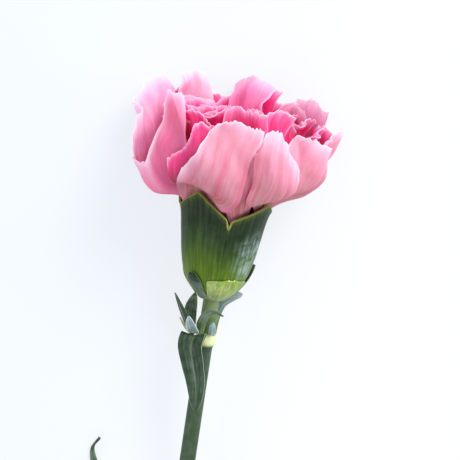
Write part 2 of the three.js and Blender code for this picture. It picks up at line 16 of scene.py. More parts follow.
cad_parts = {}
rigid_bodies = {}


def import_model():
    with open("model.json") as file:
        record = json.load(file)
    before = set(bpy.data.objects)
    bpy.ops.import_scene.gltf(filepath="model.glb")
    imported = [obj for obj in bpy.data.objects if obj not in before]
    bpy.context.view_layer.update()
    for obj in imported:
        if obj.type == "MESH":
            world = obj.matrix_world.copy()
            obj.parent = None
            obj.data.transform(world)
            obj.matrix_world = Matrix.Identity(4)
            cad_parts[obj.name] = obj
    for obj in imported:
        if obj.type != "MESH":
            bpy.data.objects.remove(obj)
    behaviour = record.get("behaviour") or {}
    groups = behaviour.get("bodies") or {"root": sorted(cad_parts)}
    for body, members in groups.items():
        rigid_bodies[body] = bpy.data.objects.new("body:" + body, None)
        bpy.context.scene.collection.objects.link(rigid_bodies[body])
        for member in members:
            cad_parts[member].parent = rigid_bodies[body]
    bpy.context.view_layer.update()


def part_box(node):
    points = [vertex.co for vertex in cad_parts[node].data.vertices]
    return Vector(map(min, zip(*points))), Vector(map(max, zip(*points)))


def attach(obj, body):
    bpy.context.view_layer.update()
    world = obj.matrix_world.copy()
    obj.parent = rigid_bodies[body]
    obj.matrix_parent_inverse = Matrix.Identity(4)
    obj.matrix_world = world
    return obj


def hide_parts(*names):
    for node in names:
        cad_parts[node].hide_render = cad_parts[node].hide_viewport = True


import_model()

scene = bpy.context.scene

# %% [markdown]
# ## The flower's own frame
# A flower is easiest to describe standing up: z runs along the stem to the petals, x is to the right of
# the face and y goes to the back. Azimuth 0 is the face and 90 is the right-hand side. The real flower
# lies on its back on the table, so every point is made in this frame, in millimetres, and laid down by
# one function at the end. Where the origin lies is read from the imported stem, whose head has a known
# size, so nothing is fitted by eye.

# %% Lay a point down on the table
MM = 0.001
AXIS_SLOPE = math.radians(6.46)
CALYX_HEIGHT = 19.6  # of the frame's origin above the table
HEAD_RADIUS = 5.9
HEAD_SIDES = 14
HEAD_TOP = 6.3
HEAD_TOP_RADIUS = 1.0
stem_low, stem_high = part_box("stem")
FLOWER_X = stem_low.x / MM + HEAD_RADIUS * math.sin(2 * math.pi * 3 / HEAD_SIDES)
FLOWER_Y = stem_high.y / MM - HEAD_TOP * math.cos(AXIS_SLOPE) - HEAD_TOP_RADIUS * math.sin(AXIS_SLOPE)


def laid_down(points):
    """Points of the flower's frame, in millimetres, as points above the table in metres."""
    x, y, z = np.moveaxis(np.asarray(points, float), -1, 0)
    along = y * math.sin(AXIS_SLOPE) + z * math.cos(AXIS_SLOPE) + FLOWER_Y
    height = z * math.sin(AXIS_SLOPE) - y * math.cos(AXIS_SLOPE) + CALYX_HEIGHT
    return MM * np.stack([x + FLOWER_X, along, height], axis=-1)


def height_above_table(points):
    return laid_down(points)[..., 2] / MM


def polar(azimuth, radius, z):
    """Points at these azimuths in degrees, radii and heights."""
    turn = np.radians(azimuth)
    parts = np.broadcast_arrays(radius * np.sin(turn), -radius * np.cos(turn), z)
    return np.stack(parts, axis=-1).astype(float)


print("the flower's origin is at", round(FLOWER_X, 3), round(FLOWER_Y, 3), CALYX_HEIGHT, "mm")

# %% [markdown]
# ## Curves and ramps
# Profiles, leaf middles and the stem are drawn through a few points with Catmull-Rom curves, because such
# a curve passes through each of its points. The smooth ramp blends one stretch of a shape into the next.

# %% Curves and ramps in numpy


def lerp(a, b, share):
    return a + (b - a) * share


def smooth(start, end, x):
    share = np.clip((x - start) / (end - start), 0, 1)
    return share * share * (3 - 2 * share)


def curve(points, share, open_ends=False):
    """Points at these shares of a Catmull-Rom curve. Open ends go straight on past the last points."""
    points = np.asarray(points, float)
    if open_ends:
        before, after = 2 * points[0] - points[1], 2 * points[-1] - points[-2]
    else:
        before, after = points[0], points[-1]
    padded = np.concatenate([[before], points, [after]])
    place = np.clip(np.asarray(share, float), 0, 1) * (len(points) - 1)
    first = np.minimum(place.astype(int), len(points) - 2)
    w = (place - first)[..., None]
    p0, p1, p2, p3 = (padded[first + k] for k in range(4))
    v0, v1 = (p2 - p0) / 2, (p3 - p1) / 2
    return (2 * p1 - 2 * p2 + v0 + v1) * w**3 + (-3 * p1 + 3 * p2 - 2 * v0 - v1) * w**2 + v0 * w + p1


def uneven(n, k):
    """A repeatable share from -1 to 1, so that no two pieces are alike."""
    return math.sin(n * 12.9898 + k * 78.233) * math.cos(n * 4.1414 + k * 2.39)


print("halfway up a ramp:", float(smooth(0, 1, 0.5)))

# %% [markdown]
# ## Camera, light and table
# The camera looks down at the flower's face from a little towards the petals, and is rolled so that the
# stem leans. A long lens keeps the lines straight. The flower lies on a sheet of white glass that is lit
# from below, as on a light table, so it throws hardly any shadow. Glass and lamp could be two objects,
# but one plane that glows a little is simpler. Four big soft lights shape the flower: a key and a fill,
# one for the edge of the petals and one from the foot of the stem.

# %% Camera
VIEW_RISE = math.radians(12)  # the view comes from this much above the bloom's equator
LEAN = math.radians(8.5)
VIEW_DISTANCE = 0.45
FIELD = 0.1334  # metres across the picture, at the flower
AIM_RIGHT, AIM_UP = 2.4, 20.0  # millimetres from the calyx's foot to the picture's middle
SENSOR = 36.0

flower_origin = Vector(laid_down((0, 0, 0)))
flower_right = Vector((1, 0, 0))
view_point = laid_down((0, -math.cos(VIEW_RISE), math.sin(VIEW_RISE)))
towards_camera = (Vector(view_point) - flower_origin).normalized()
up_the_view = towards_camera.cross(flower_right)
aim = flower_origin + (flower_right * AIM_RIGHT + up_the_view * AIM_UP) * MM
right = flower_right * math.cos(LEAN) + up_the_view * math.sin(LEAN)
up = up_the_view * math.cos(LEAN) - flower_right * math.sin(LEAN)

lens = bpy.data.cameras.new("camera")
lens.sensor_width = SENSOR
lens.lens = SENSOR * VIEW_DISTANCE / FIELD
camera = bpy.data.objects.new("camera", lens)
turn = Matrix((right, up, towards_camera)).transposed().to_4x4()
camera.matrix_world = Matrix.Translation(aim + towards_camera * VIEW_DISTANCE) @ turn
scene.collection.objects.link(camera)
scene.camera = camera
print("lens:", round(lens.lens, 1), "mm")

# %% Lights and table


def srgb(red, green, blue, alpha=1.0):
    """A screen colour from 0 to 255 as the linear colour that shaders use."""
    parts = [c / 255 for c in (red, green, blue)]
    return tuple(c / 12.92 if c <= 0.04045 else ((c + 0.055) / 1.055) ** 2.4 for c in parts) + (alpha,)


def soft_light(name, place, size, power, colour=(1, 1, 1)):
    """A square area light that looks at the flower."""
    data = bpy.data.lights.new(name, "AREA")
    data.size = size
    data.energy = power
    data.color = colour
    lamp = bpy.data.objects.new(name, data)
    lamp.location = place
    lamp.rotation_euler = (aim - Vector(place)).to_track_quat("-Z", "Y").to_euler()
    scene.collection.objects.link(lamp)
    return lamp


soft_light("key", (0.4, 0.75, 0.8), 0.5, 10.5, (1.0, 0.99, 0.97))
soft_light("fill", (-0.8, -0.2, 0.7), 0.9, 3.5, (0.95, 0.97, 1.0))
soft_light("edge", (0.75, 0.1, 0.16), 0.35, 2.5, (0.9, 0.95, 1.0))
soft_light("foot", (-0.15, -0.85, 0.35), 0.7, 1.8, (1.0, 0.98, 0.98))
STUDIO_COLOUR, STUDIO_STRENGTH = (0.93, 0.96, 1.0, 1), 0.9
world = bpy.data.worlds.new("studio")
world.use_nodes = True
world.node_tree.nodes["Background"].inputs["Color"].default_value = STUDIO_COLOUR
world.node_tree.nodes["Background"].inputs["Strength"].default_value = STUDIO_STRENGTH
scene.world = world
scene.view_settings.view_transform = "Standard"

TABLE_SIZE = 6.0
table_mesh = bpy.data.meshes.new("table")
half = TABLE_SIZE / 2
corners = [(-half, -half, 0), (half, -half, 0), (half, half, 0), (-half, half, 0)]
table_mesh.from_pydata(corners, [], [(0, 1, 2, 3)])
table = bpy.data.objects.new("table", table_mesh)
scene.collection.objects.link(table)

# %% [markdown]
# ## Helpers for node trees
# Every tree below is put together by the same two helpers: one adds a node and fills or joins its inputs,
# and the other does a sum. They keep each tree short enough to read.

# %% Add a node, do a sum


def put(tree, kind, inputs=None, **settings):
    """Add a node, set its properties, and join or fill its inputs."""
    new = tree.nodes.new(kind)
    for name, value in settings.items():
        setattr(new, name, value)
    for key, value in (inputs or {}).items():
        if isinstance(value, bpy.types.NodeSocket):
            tree.links.new(value, new.inputs[key])
        else:
            new.inputs[key].default_value = value
    return new


def calc(tree, operation, *values, clamp=False):
    """The result of a Math node."""
    new = put(tree, "ShaderNodeMath", dict(enumerate(values)), operation=operation, use_clamp=clamp)
    return new.outputs[0]


def ramp_between(tree, value, start, end, to_start=0.0, to_end=1.0):
    """A smooth ramp of a value, from one range to another."""
    inputs = {"Value": value, "From Min": start, "From Max": end, "To Min": to_start, "To Max": to_end}
    return put(tree, "ShaderNodeMapRange", inputs, interpolation_type="SMOOTHSTEP").outputs["Result"]


def mixed(tree, share, first, second, blend="MIX"):
    new = put(tree, "ShaderNodeMix", data_type="RGBA", blend_type=blend)
    for socket, value in ((new.inputs[0], share), (new.inputs[6], first), (new.inputs[7], second)):
        if isinstance(value, bpy.types.NodeSocket):
            tree.links.new(value, socket)
        else:
            socket.default_value = value
    return new.outputs[2]


def table_material():
    """A sheet of white glass lit from below, a little brighter towards one side."""
    material = bpy.data.materials.new("table_top")
    material.use_nodes = True
    tree = material.node_tree
    shader = tree.nodes["Principled BSDF"]
    where = put(tree, "ShaderNodeTexCoord").outputs["Object"]
    to_side = put(tree, "ShaderNodeSeparateXYZ", {0: where}).outputs["X"]
    glow = mixed(tree, ramp_between(tree, to_side, -0.12, 0.1), TABLE_GLOW_LEFT, TABLE_GLOW_RIGHT)
    tree.links.new(glow, shader.inputs["Emission Color"])
    shader.inputs["Emission Strength"].default_value = TABLE_GLOW
    shader.inputs["Base Color"].default_value = TABLE_COLOUR
    shader.inputs["Roughness"].default_value = 0.9
    return material


TABLE_COLOUR = (0.16, 0.165, 0.175, 1)
TABLE_GLOW = 0.74
TABLE_GLOW_LEFT, TABLE_GLOW_RIGHT = (0.86, 0.92, 1.0, 1), (1.0, 1.0, 1.0, 1)
table_mesh.materials.append(table_material())
print("the table has its finish")

# %% [markdown]
# ## The bloom as a fan of nested shells
# A carnation's petals all stand on one small dome. Each rises through the calyx as a narrow claw, bends
# outwards over the rim and opens into a blade. They never pass through each other, so the whole bloom can
# be one map: layer 1 is the outermost shell, layer 0 a tube round the axis, and station 0 to 1 runs from
# the dome to past the longest petal's tip. A petal is then a rectangle of (layer, azimuth, station), bent
# by the map.

# %% The shells, and the calyx's rim that the petals bend over
OUTER_SHELL = [
    (5.7, 5.05), (8.5, 9.2), (9.8, 14), (10.3, 19), (11.2, 24), (12.5, 28.3), (16.8, 31.6),
    (22.8, 34.2), (26.2, 38.8), (27.4, 44.6), (28.4, 50.6), (29.6, 56.6), (30.8, 62.6),
]
INNER_SHELL = [
    (2, 6.7), (1.9, 11.4), (1.7, 16.4), (1.4, 21.8), (1.1, 27.4), (0.9, 32.8), (0.8, 37.8),
    (0.7, 42.4), (0.6, 46.8), (0.6, 51), (0.6, 55.4), (0.6, 60), (0.6, 65),
]
# Each tooth of the calyx: the azimuth and height of the notch before it, and of its tip.
TEETH = [
    (9, 25.2, 62, 30.6), (98, 26.4, 131, 30.6), (163, 25.6, 192, 31),
    (222, 26, 254, 29.6), (286, 26.6, 327, 32.4),
]
RIM_MEAN = 28
WAVER_SIZE, WAVER_PITCH, WAVER_CLIMB = 1.0, 0.36, 0.12
WAVER_FROM, WAVER_TO = 29, 44
PRESS_FROM, PRESS_DEPTH = 7, 20.5
SAG_AZIMUTH, SAG_WIDTH = 285, 34  # the petals hang lower and bulge on one side
SAG_DEPTH, SAG_BULGE = 3.5, 1.4


def rim_height(azimuth, blend=lambda share: share * share * (3 - 2 * share)):
    """The height of the calyx's rim at each azimuth."""
    start = TEETH[0][0]
    turn = np.mod(np.asarray(azimuth, float) - start, 360) + start
    height = np.zeros_like(turn)
    following = TEETH[1:] + [(start + 360, *TEETH[0][1:])]
    for (notch, depth, tip, top), (next_notch, next_depth, _, _) in zip(TEETH, following):
        rising = (turn >= notch) & (turn < tip)
        falling = (turn >= tip) & (turn < next_notch)
        height = np.where(rising, lerp(depth, top, blend((turn - notch) / (tip - notch))), height)
        height = np.where(falling, lerp(top, next_depth, blend((turn - tip) / (next_notch - tip))), height)
    return height


def shell_radius(layer, station):
    return lerp(curve(INNER_SHELL, station)[..., 0], curve(OUTER_SHELL, station)[..., 0], layer)


def bloom_point(layer, azimuth, station):
    """The bloom's map, from layer, azimuth and station to a point of the flower's frame."""
    inner, outer = curve(INNER_SHELL, station), curve(OUTER_SHELL, station)
    follow = smooth(0.28, 0.42, station) * (1 - smooth(0.46, 0.7, station))
    lifted = outer[..., 1] + (rim_height(azimuth) - RIM_MEAN) * follow
    aside = (np.mod(np.asarray(azimuth, float) - SAG_AZIMUTH + 180, 360) - 180) / SAG_WIDTH
    sag = np.exp(-(aside**2)) * smooth(0.45, 0.56, station) * (1 - smooth(0.6, 0.95, station))
    lifted = lifted - SAG_DEPTH * sag
    widened = outer[..., 0] + SAG_BULGE * sag
    points = polar(azimuth, lerp(inner[..., 0], widened, layer), lerp(inner[..., 1], lifted, layer))
    x, y, z = np.moveaxis(points, -1, 0).copy()
    loose = WAVER_SIZE * smooth(WAVER_FROM, WAVER_TO, z)
    x = x + loose * np.sin(WAVER_PITCH * y + WAVER_CLIMB * z)
    y = y + loose * np.sin(WAVER_PITCH * x + WAVER_CLIMB * z + 2)
    return np.stack([x, y, z], axis=-1)


def pressed(points):
    """The petals underneath are pressed against the table."""
    sunk = np.maximum(0, PRESS_FROM - height_above_table(points))
    moved = points.copy()
    moved[..., 1] += (sunk / (1 + sunk / PRESS_DEPTH) - sunk) / math.cos(AXIS_SLOPE)
    return moved


print("tallest outer petal:", round(float(curve(OUTER_SHELL, 0.95)[1]), 1), "mm above the calyx's foot")

# %% [markdown]
# ## Ruffles
# Carnation petals are fluted along their length and crumpled at the edge, and neighbours share their
# folds because they grow pressed together. So the flutes and the crumple belong to the whole bloom, not
# to one petal: a flute moves the shells in and out as the azimuth turns, and the crumple is a row of
# shears. A shear slides each plane sideways and never brings two petals through each other.

# %% Flutes and crumple of the whole bloom
FLUTES = [(9, 0.30, 0.75, 0.4), (17, -0.35, 0.42, 1.9), (31, 0.4, 0.16, 0.7)]  # count, twist, size in mm, phase
CRUMPLE = [(27, 0.8), (19, 0.7), (13.5, 0.65), (9.5, 0.5), (6.8, 0.36), (5, 0.24)]  # wavelength and size in mm


def fluted(points):
    """Move the points in and out along the radius, more towards the petals' edges."""
    x, y, z = np.moveaxis(points, -1, 0)
    radius = np.hypot(x, y)
    azimuth = np.arctan2(x, -y)
    open_part = smooth(28, 50, z) * smooth(1, 9, radius)
    push = np.zeros_like(radius)
    for count, twist, size, phase in FLUTES:
        push = push + size * np.sin(count * azimuth + twist * radius + phase + 0.02 * z * count)
    share = 1 + push * open_part / np.maximum(radius, 1)
    return np.stack([x * share, y * share, z], axis=-1)


def crumpled(points):
    """Slide the points along a row of wavy shears, each of a shorter wave than the last."""
    points = points.copy()
    for n, (wavelength, size) in enumerate(CRUMPLE):
        tilt, swing = 1.1 * n + 0.5, 2.4 * n + 0.9
        slide = np.array([math.cos(swing) * math.cos(tilt), math.sin(swing) * math.cos(tilt), math.sin(tilt)])
        across = np.cross(slide, (math.sin(2.1 * n), math.cos(1.7 * n), 0.6))
        across /= np.linalg.norm(across)
        open_part = smooth(34, 54, points[..., 2])
        wave = np.sin(2 * math.pi * (points @ across) / wavelength + 1.3 * n)
        points += (size * open_part * wave)[..., None] * slide
    return points


print("flutes round the bloom:", [flute[0] for flute in FLUTES])

# %% [markdown]
# ## One petal
# A petal is a grid: columns across the blade, rows from the claw to the toothed edge. Its middle line
# stands at one azimuth, its two sides lie on slightly different layers so that neighbours overlap like
# tiles, and its upper edge is an arc with small uneven teeth. The last stretch may roll outwards. Widths
# are in millimetres; heights and layers are shares of the bloom's map.

# %% The grid of points of one petal
CLAW_HALF = 0.9
CLAW_SHARE = 0.2  # of the rows, below the rim
CLAW_TOP = 0.42
BLADE_WIDENS = (0.31, 0.6)  # the stations over which a blade reaches its full width
MAP_LENGTH = 68  # mm of petal from station 0 to station 1
MAP_DEPTH = 27  # mm from the innermost shell to the outermost
SCALLOP, FINE_SCALLOP = 1.5, 0.8  # mm from notch to notch
TOOTH_MEAN = 0.6


def across_blade(values, u):
    """A value across the blade: an arc through three values, or a curve through more of them."""
    if len(values) == 3:
        left, middle, right = values
        return middle + (right - left) / 2 * u + ((right + left) / 2 - middle) * u * u
    return curve([(value,) for value in values], (u + 1) / 2)[..., 0]


def edge_teeth(distance, seed):
    """Height of the toothed edge in mm: uneven scallops with sharp notches between them."""
    slow = distance + 0.5 * np.sin(0.9 * distance + seed) + 0.22 * np.sin(2.3 * distance + 2 * seed)
    scallops = np.abs(np.sin(math.pi * slow / SCALLOP))
    fine = np.abs(np.sin(math.pi * (slow / FINE_SCALLOP + 0.3)))
    size = 0.62 + 0.38 * np.sin(0.7 * distance + 3 * seed)
    return size * (0.75 * scallops + 0.25 * fine)


def petal_grid(spec, rows, columns):
    """Points of one petal in the flower's frame, its u (-1 to 1), share of the way up and mm from the edge."""
    u = np.linspace(-1, 1, columns + 1)[None, :]
    v = np.linspace(0, 1, rows + 1)[:, None]
    seed = spec["seed"]
    top = across_blade(spec["tops"], u)
    blade = np.clip((v - CLAW_SHARE) / (1 - CLAW_SHARE), 0, 1)
    mm_to_station = 1 / MAP_LENGTH
    teeth = (edge_teeth(u * spec["half"], seed) - TOOTH_MEAN) * mm_to_station * spec.get("teeth", 1)
    in_blade = lerp(CLAW_TOP, top, blade) + teeth * blade**9
    station = np.where(v < CLAW_SHARE, CLAW_TOP * v / CLAW_SHARE, in_blade)
    station = station + 0 * u
    opening = smooth(0.28, 0.46, station)
    width = lerp(CLAW_HALF, spec["half"], smooth(*spec.get("widens", BLADE_WIDENS), station))
    from_edge = (station[-1:] - station) / mm_to_station
    from_side = (1 - np.abs(u)) * width * 3 + 12 * (1 - smooth(0.55, 0.9, blade))
    # Dividing by the paling spreads the pale margin as painted light on lit petals, and narrows it as painted
    # shade below 1.
    depth = np.minimum(from_edge, from_side) / spec.get("paling_by_light", 1)
    layer = lerp(spec["layers"][1], across_blade(spec["layers"], u), opening)
    layer = layer + spec.get("curl", 0) * smooth(0.52, 1, station)
    for place, spread, size in spec.get("folds", ()):
        layer = layer + size * np.exp(-(((u - place) / spread) ** 2)) * smooth(0.45, 0.7, station)
    pleats, pleat_size, phase = spec.get("pleats", (0, 0, 0))
    wave = np.sin(pleats * math.pi * u + phase)
    layer = layer + pleat_size * wave * (1 - u**4) * smooth(0.5, 0.8, station)
    edge = smooth(0.6, 1, blade)
    ruffle = spec.get("ruffle", 0.012)
    layer = layer + ruffle * edge * np.sin(u * spec["half"] * 1.15 + seed * 3.1)
    layer = layer + 0.6 * ruffle * edge * np.sin(u * spec["half"] * 2.2 + seed * 5.3 + 3 * blade)
    roll = math.radians(spec.get("roll", 25)) * (1 + 0.5 * np.sin(1.9 * u + seed))
    start = 1 - spec.get("roll_share", 0.16)
    rolled = np.clip((blade - start) / (1 - start), 0, 1)
    length = (top - CLAW_TOP) * (1 - start)
    angle = roll * rolled
    bend = np.where(np.abs(angle) > 1e-4, angle, 1e-4)
    station = station - length * rolled * (1 - np.sin(bend) / bend)
    layer = layer + length * rolled / mm_to_station * (1 - np.cos(bend)) / bend / MAP_DEPTH
    radius = shell_radius(layer, station)
    spin = np.degrees(u * width / radius) + spec.get("turn", 0) * smooth(0.3, 0.6, station)
    spin = spin + spec.get("sweep", 0) * smooth(0.5, 1, station)
    points = bloom_point(layer, spec["foot"] + spin, station)
    points = pressed(crumpled(fluted(points)))
    return points, u + 0 * v, station / top, depth


deepest = float(edge_teeth(np.linspace(-10, 10, 200), 1.0).max())
print("teeth on a 20 mm edge are up to", round(deepest, 2), "mm deep")

# %% [markdown]
# ## Which petals there are
# The guard petals round the outside are set one by one, because they make the flower's outline and its
# face. The rings inside follow a rule, except for the few whose tops show.

# %% The list of petals
# Here the magenta shares are partly painted shade and a paling above 1 is painted light: the petal at 245 is
# lit, those at 280 and 334 lie in shade.
GUARD = [
    dict(foot=-54, turn=40, sweep=10, half=9.0, layers=(0.975, 0.985, 0.975),
         tops=(0.7, 0.87, 0.925, 0.905, 0.91), widens=(0.2, 0.52), pleats=(3.2, 0.014, 0.6),
         folds=((-0.5, 0.07, -0.03),), paling_by_light=1.35),
    dict(foot=28, turn=-17, half=4.5, layers=(0.9, 0.9, 0.9), tops=(0.78, 0.8, 0.76), widens=(0.2, 0.55)),
    dict(foot=62, turn=-27, sweep=-7, half=8, layers=(0.945, 0.985, 0.98),
         tops=(0.905, 0.895, 0.86, 0.79, 0.74), widens=(0.4, 0.62), pleats=(3.6, 0.026, 0), paling_by_light=1.1),
    dict(foot=62, turn=-2, half=10.5, layers=(0.93, 0.965, 0.985), tops=(0.86, 0.845, 0.78),
         pleats=(2.8, 0.022, 1)),
    dict(foot=94, turn=2, half=9.5, layers=(0.93, 0.96, 0.985), tops=(0.83, 0.875, 0.83)),
    dict(foot=127, half=10, layers=(0.93, 0.955, 0.98), tops=(0.86, 0.89, 0.87)),
    dict(foot=156, half=8.8, layers=(0.93, 0.955, 0.98), tops=(0.88, 0.9, 0.88)),
    dict(foot=183, half=10, layers=(0.93, 0.955, 0.98), tops=(0.86, 0.9, 0.88), paling_by_light=0.4),
    dict(foot=212, half=9, layers=(0.93, 0.93, 0.92), tops=(0.9, 0.92, 0.9), paling_by_light=0.4),
    dict(foot=245, turn=3, half=12.5, layers=(0.98, 0.965, 0.94),
         tops=(0.95, 0.95, 0.89, 0.82, 0.72), curl=0.08, pleats=(2.6, 0.02, 0.5),
         warmth=0.0, hot_inside=0.15, paling_by_light=1.7),
    dict(foot=280, turn=6, sweep=11, half=17, layers=(0.985, 0.95, 0.915),
         tops=(0.68, 0.68, 0.69, 0.69, 0.72, 0.955, 0.985), widens=(0.24, 0.56),
         warmth=0.3, hot_inside=0.95, hot_outside=0.3, paling_by_light=1.3),
    dict(foot=334, half=5.6, layers=(0.965, 0.95, 0.94), tops=(0.72, 0.77, 0.82, 0.885, 0.885),
         warmth=0.0, hot_outside=0.85, paling_by_light=0.4),
]
SECOND = [
    (8, 6.3, 0.925, 0.945, 0.94), (32, 4.2, 0.91, 0.94, 0.91), (70, 8, 0.87, 0.9, 0.87),
    (121, 10.3, 0.93, 0.96, 0.965, 0.925, 0.93), (150, 8, 0.87, 0.9, 0.87), (184, 9, 0.85, 0.88, 0.85),
    (217, 4.4, 0.968, 0.982, 0.982), (306, 5, 0.83, 0.86, 0.83), (336, 7, 0.91, 0.91, 0.87),
]
THIRD = [
    (-24, 7, 0.89, 0.9, 0.935), (34, 7, 0.87, 0.9, 0.87), (68, 8, 0.88, 0.9, 0.88),
    (130, 6.5, 0.92, 0.925, 0.9), (160, 3.6, 0.935, 0.94, 0.91), (185, 8, 0.87, 0.88, 0.86),
    (232, 8, 0.88, 0.9, 0.89), (285, 8, 0.86, 0.89, 0.87),
]
FOURTH = [
    (170, 6.0, 0.995, 0.995, 0.98), (230, 8, 0.86, 0.88, 0.86), (290, 8, 0.84, 0.87, 0.85),
    (350, 8, 0.83, 0.86, 0.84), (50, 8, 0.84, 0.87, 0.84), (110, 8, 0.85, 0.88, 0.86),
]
FIFTH = [(-30 + 72 * n, 6.4, 0.83, 0.86, 0.84) for n in range(5)]
HEART = [(15 + 120 * n, 5, 0.82, 0.85, 0.83) for n in range(3)]
RINGS = [("second", SECOND, 0.81, 0.03), ("third", THIRD, 0.66, 0.03), ("fourth", FOURTH, 0.5, 0.03),
         ("fifth", FIFTH, 0.345, 0.028), ("heart", HEART, 0.19, 0.026)]

# The inner rings' magenta is partly their own colour and partly painted shade deep in the flower.
RING_MAGENTA_AND_SHADE = {"second": 0.9, "third": 0.95, "fourth": 1.0, "fifth": 1.0, "heart": 1.0}
# Petals of the rings that stand out: how they roll, how much magenta and painted shade, how much painted light.
STANDING_OUT = {
    "second_petal_1": dict(hot_outside=0.8),
    "second_petal_4": dict(hot_inside=0.2, hot_outside=0.1, paling_by_light=1.5, roll=8, ruffle=0.004, teeth=0.35),
    "second_petal_7": dict(hot_inside=0.05, hot_outside=0.05, paling_by_light=2.0),
    "second_petal_9": dict(paling_by_light=0.4),
    "third_petal_1": dict(paling_by_light=1.2, roll=70, roll_share=0.22),
    "third_petal_4": dict(hot_inside=0.4, hot_outside=0.4),
    "third_petal_7": dict(hot_inside=0.5, hot_outside=0.5, paling_by_light=1.5),
    "fourth_petal_1": dict(roll=62, roll_share=0.32, ruffle=0.004, paling_by_light=5.5),
}
petals = {}
for number, spec in enumerate(GUARD, 1):
    usual = dict(warmth=1.0, hot_inside=0.8, hot_outside=0.0, seed=number)
    petals[f"guard_petal_{number}"] = {**usual, **spec}
for ring, places, layer, tilt in RINGS:
    for number, (foot, half_width, *tops) in enumerate(places, 1):
        n = len(petals) + 1
        petals[f"{ring}_petal_{number}"] = dict(
            foot=foot,
            turn=3 * uneven(n, 3),
            half=half_width,
            layers=(layer - tilt, layer, layer + tilt),
            tops=tops,
            seed=n,
            warmth=0.0,
            hot_inside=RING_MAGENTA_AND_SHADE[ring],
            hot_outside=RING_MAGENTA_AND_SHADE[ring],
        )
for name, extras in STANDING_OUT.items():
    petals[name].update(extras)
print("petals:", len(petals))

# %% [markdown]
# ## Turning a grid into a thin living sheet
# Petals, leaves, bracts and the calyx are all thin tissue with fine veins. Displacing and thickening such
# a sheet by hand would be slow, so one Geometry Nodes tree does it for all of them: it raises veins that
# follow the piece's own `across` and `along` attributes, crinkles the edge, gives the sheet its thickness
# and closes it.

# %% The tree that raises veins and gives thickness
RIB_FALL = -60.0  # how fast the midrib falls off to its sides
RELIEF_INPUTS = [
    ("Thickness", "NodeSocketFloat", 0.25 * MM),
    ("Edge Thickness", "NodeSocketFloat", 0.6),
    ("Vein Height", "NodeSocketFloat", 0.1 * MM),
    ("Vein Count", "NodeSocketFloat", 10.0),
    ("Vein Start", "NodeSocketFloat", 0.0),
    ("Midrib Height", "NodeSocketFloat", 0.0),
    ("Crinkle Height", "NodeSocketFloat", 0.0),
    ("Crinkle Size", "NodeSocketFloat", 2 * MM),
    ("Seed", "NodeSocketFloat", 0.0),
    ("Finish", "NodeSocketMaterial", None),
]


def named(tree, name):
    """A named attribute of the sheet, as a number."""
    return put(tree, "GeometryNodeInputNamedAttribute", {"Name": name}, data_type="FLOAT").outputs["Attribute"]


def centred_noise(tree, vector, seed, scale=1.0):
    inputs = {"Vector": vector, "W": seed, "Scale": scale, "Detail": 2.0}
    noise = put(tree, "ShaderNodeTexNoise", inputs, noise_dimensions="4D")
    return calc(tree, "SUBTRACT", noise.outputs[0], 0.5)


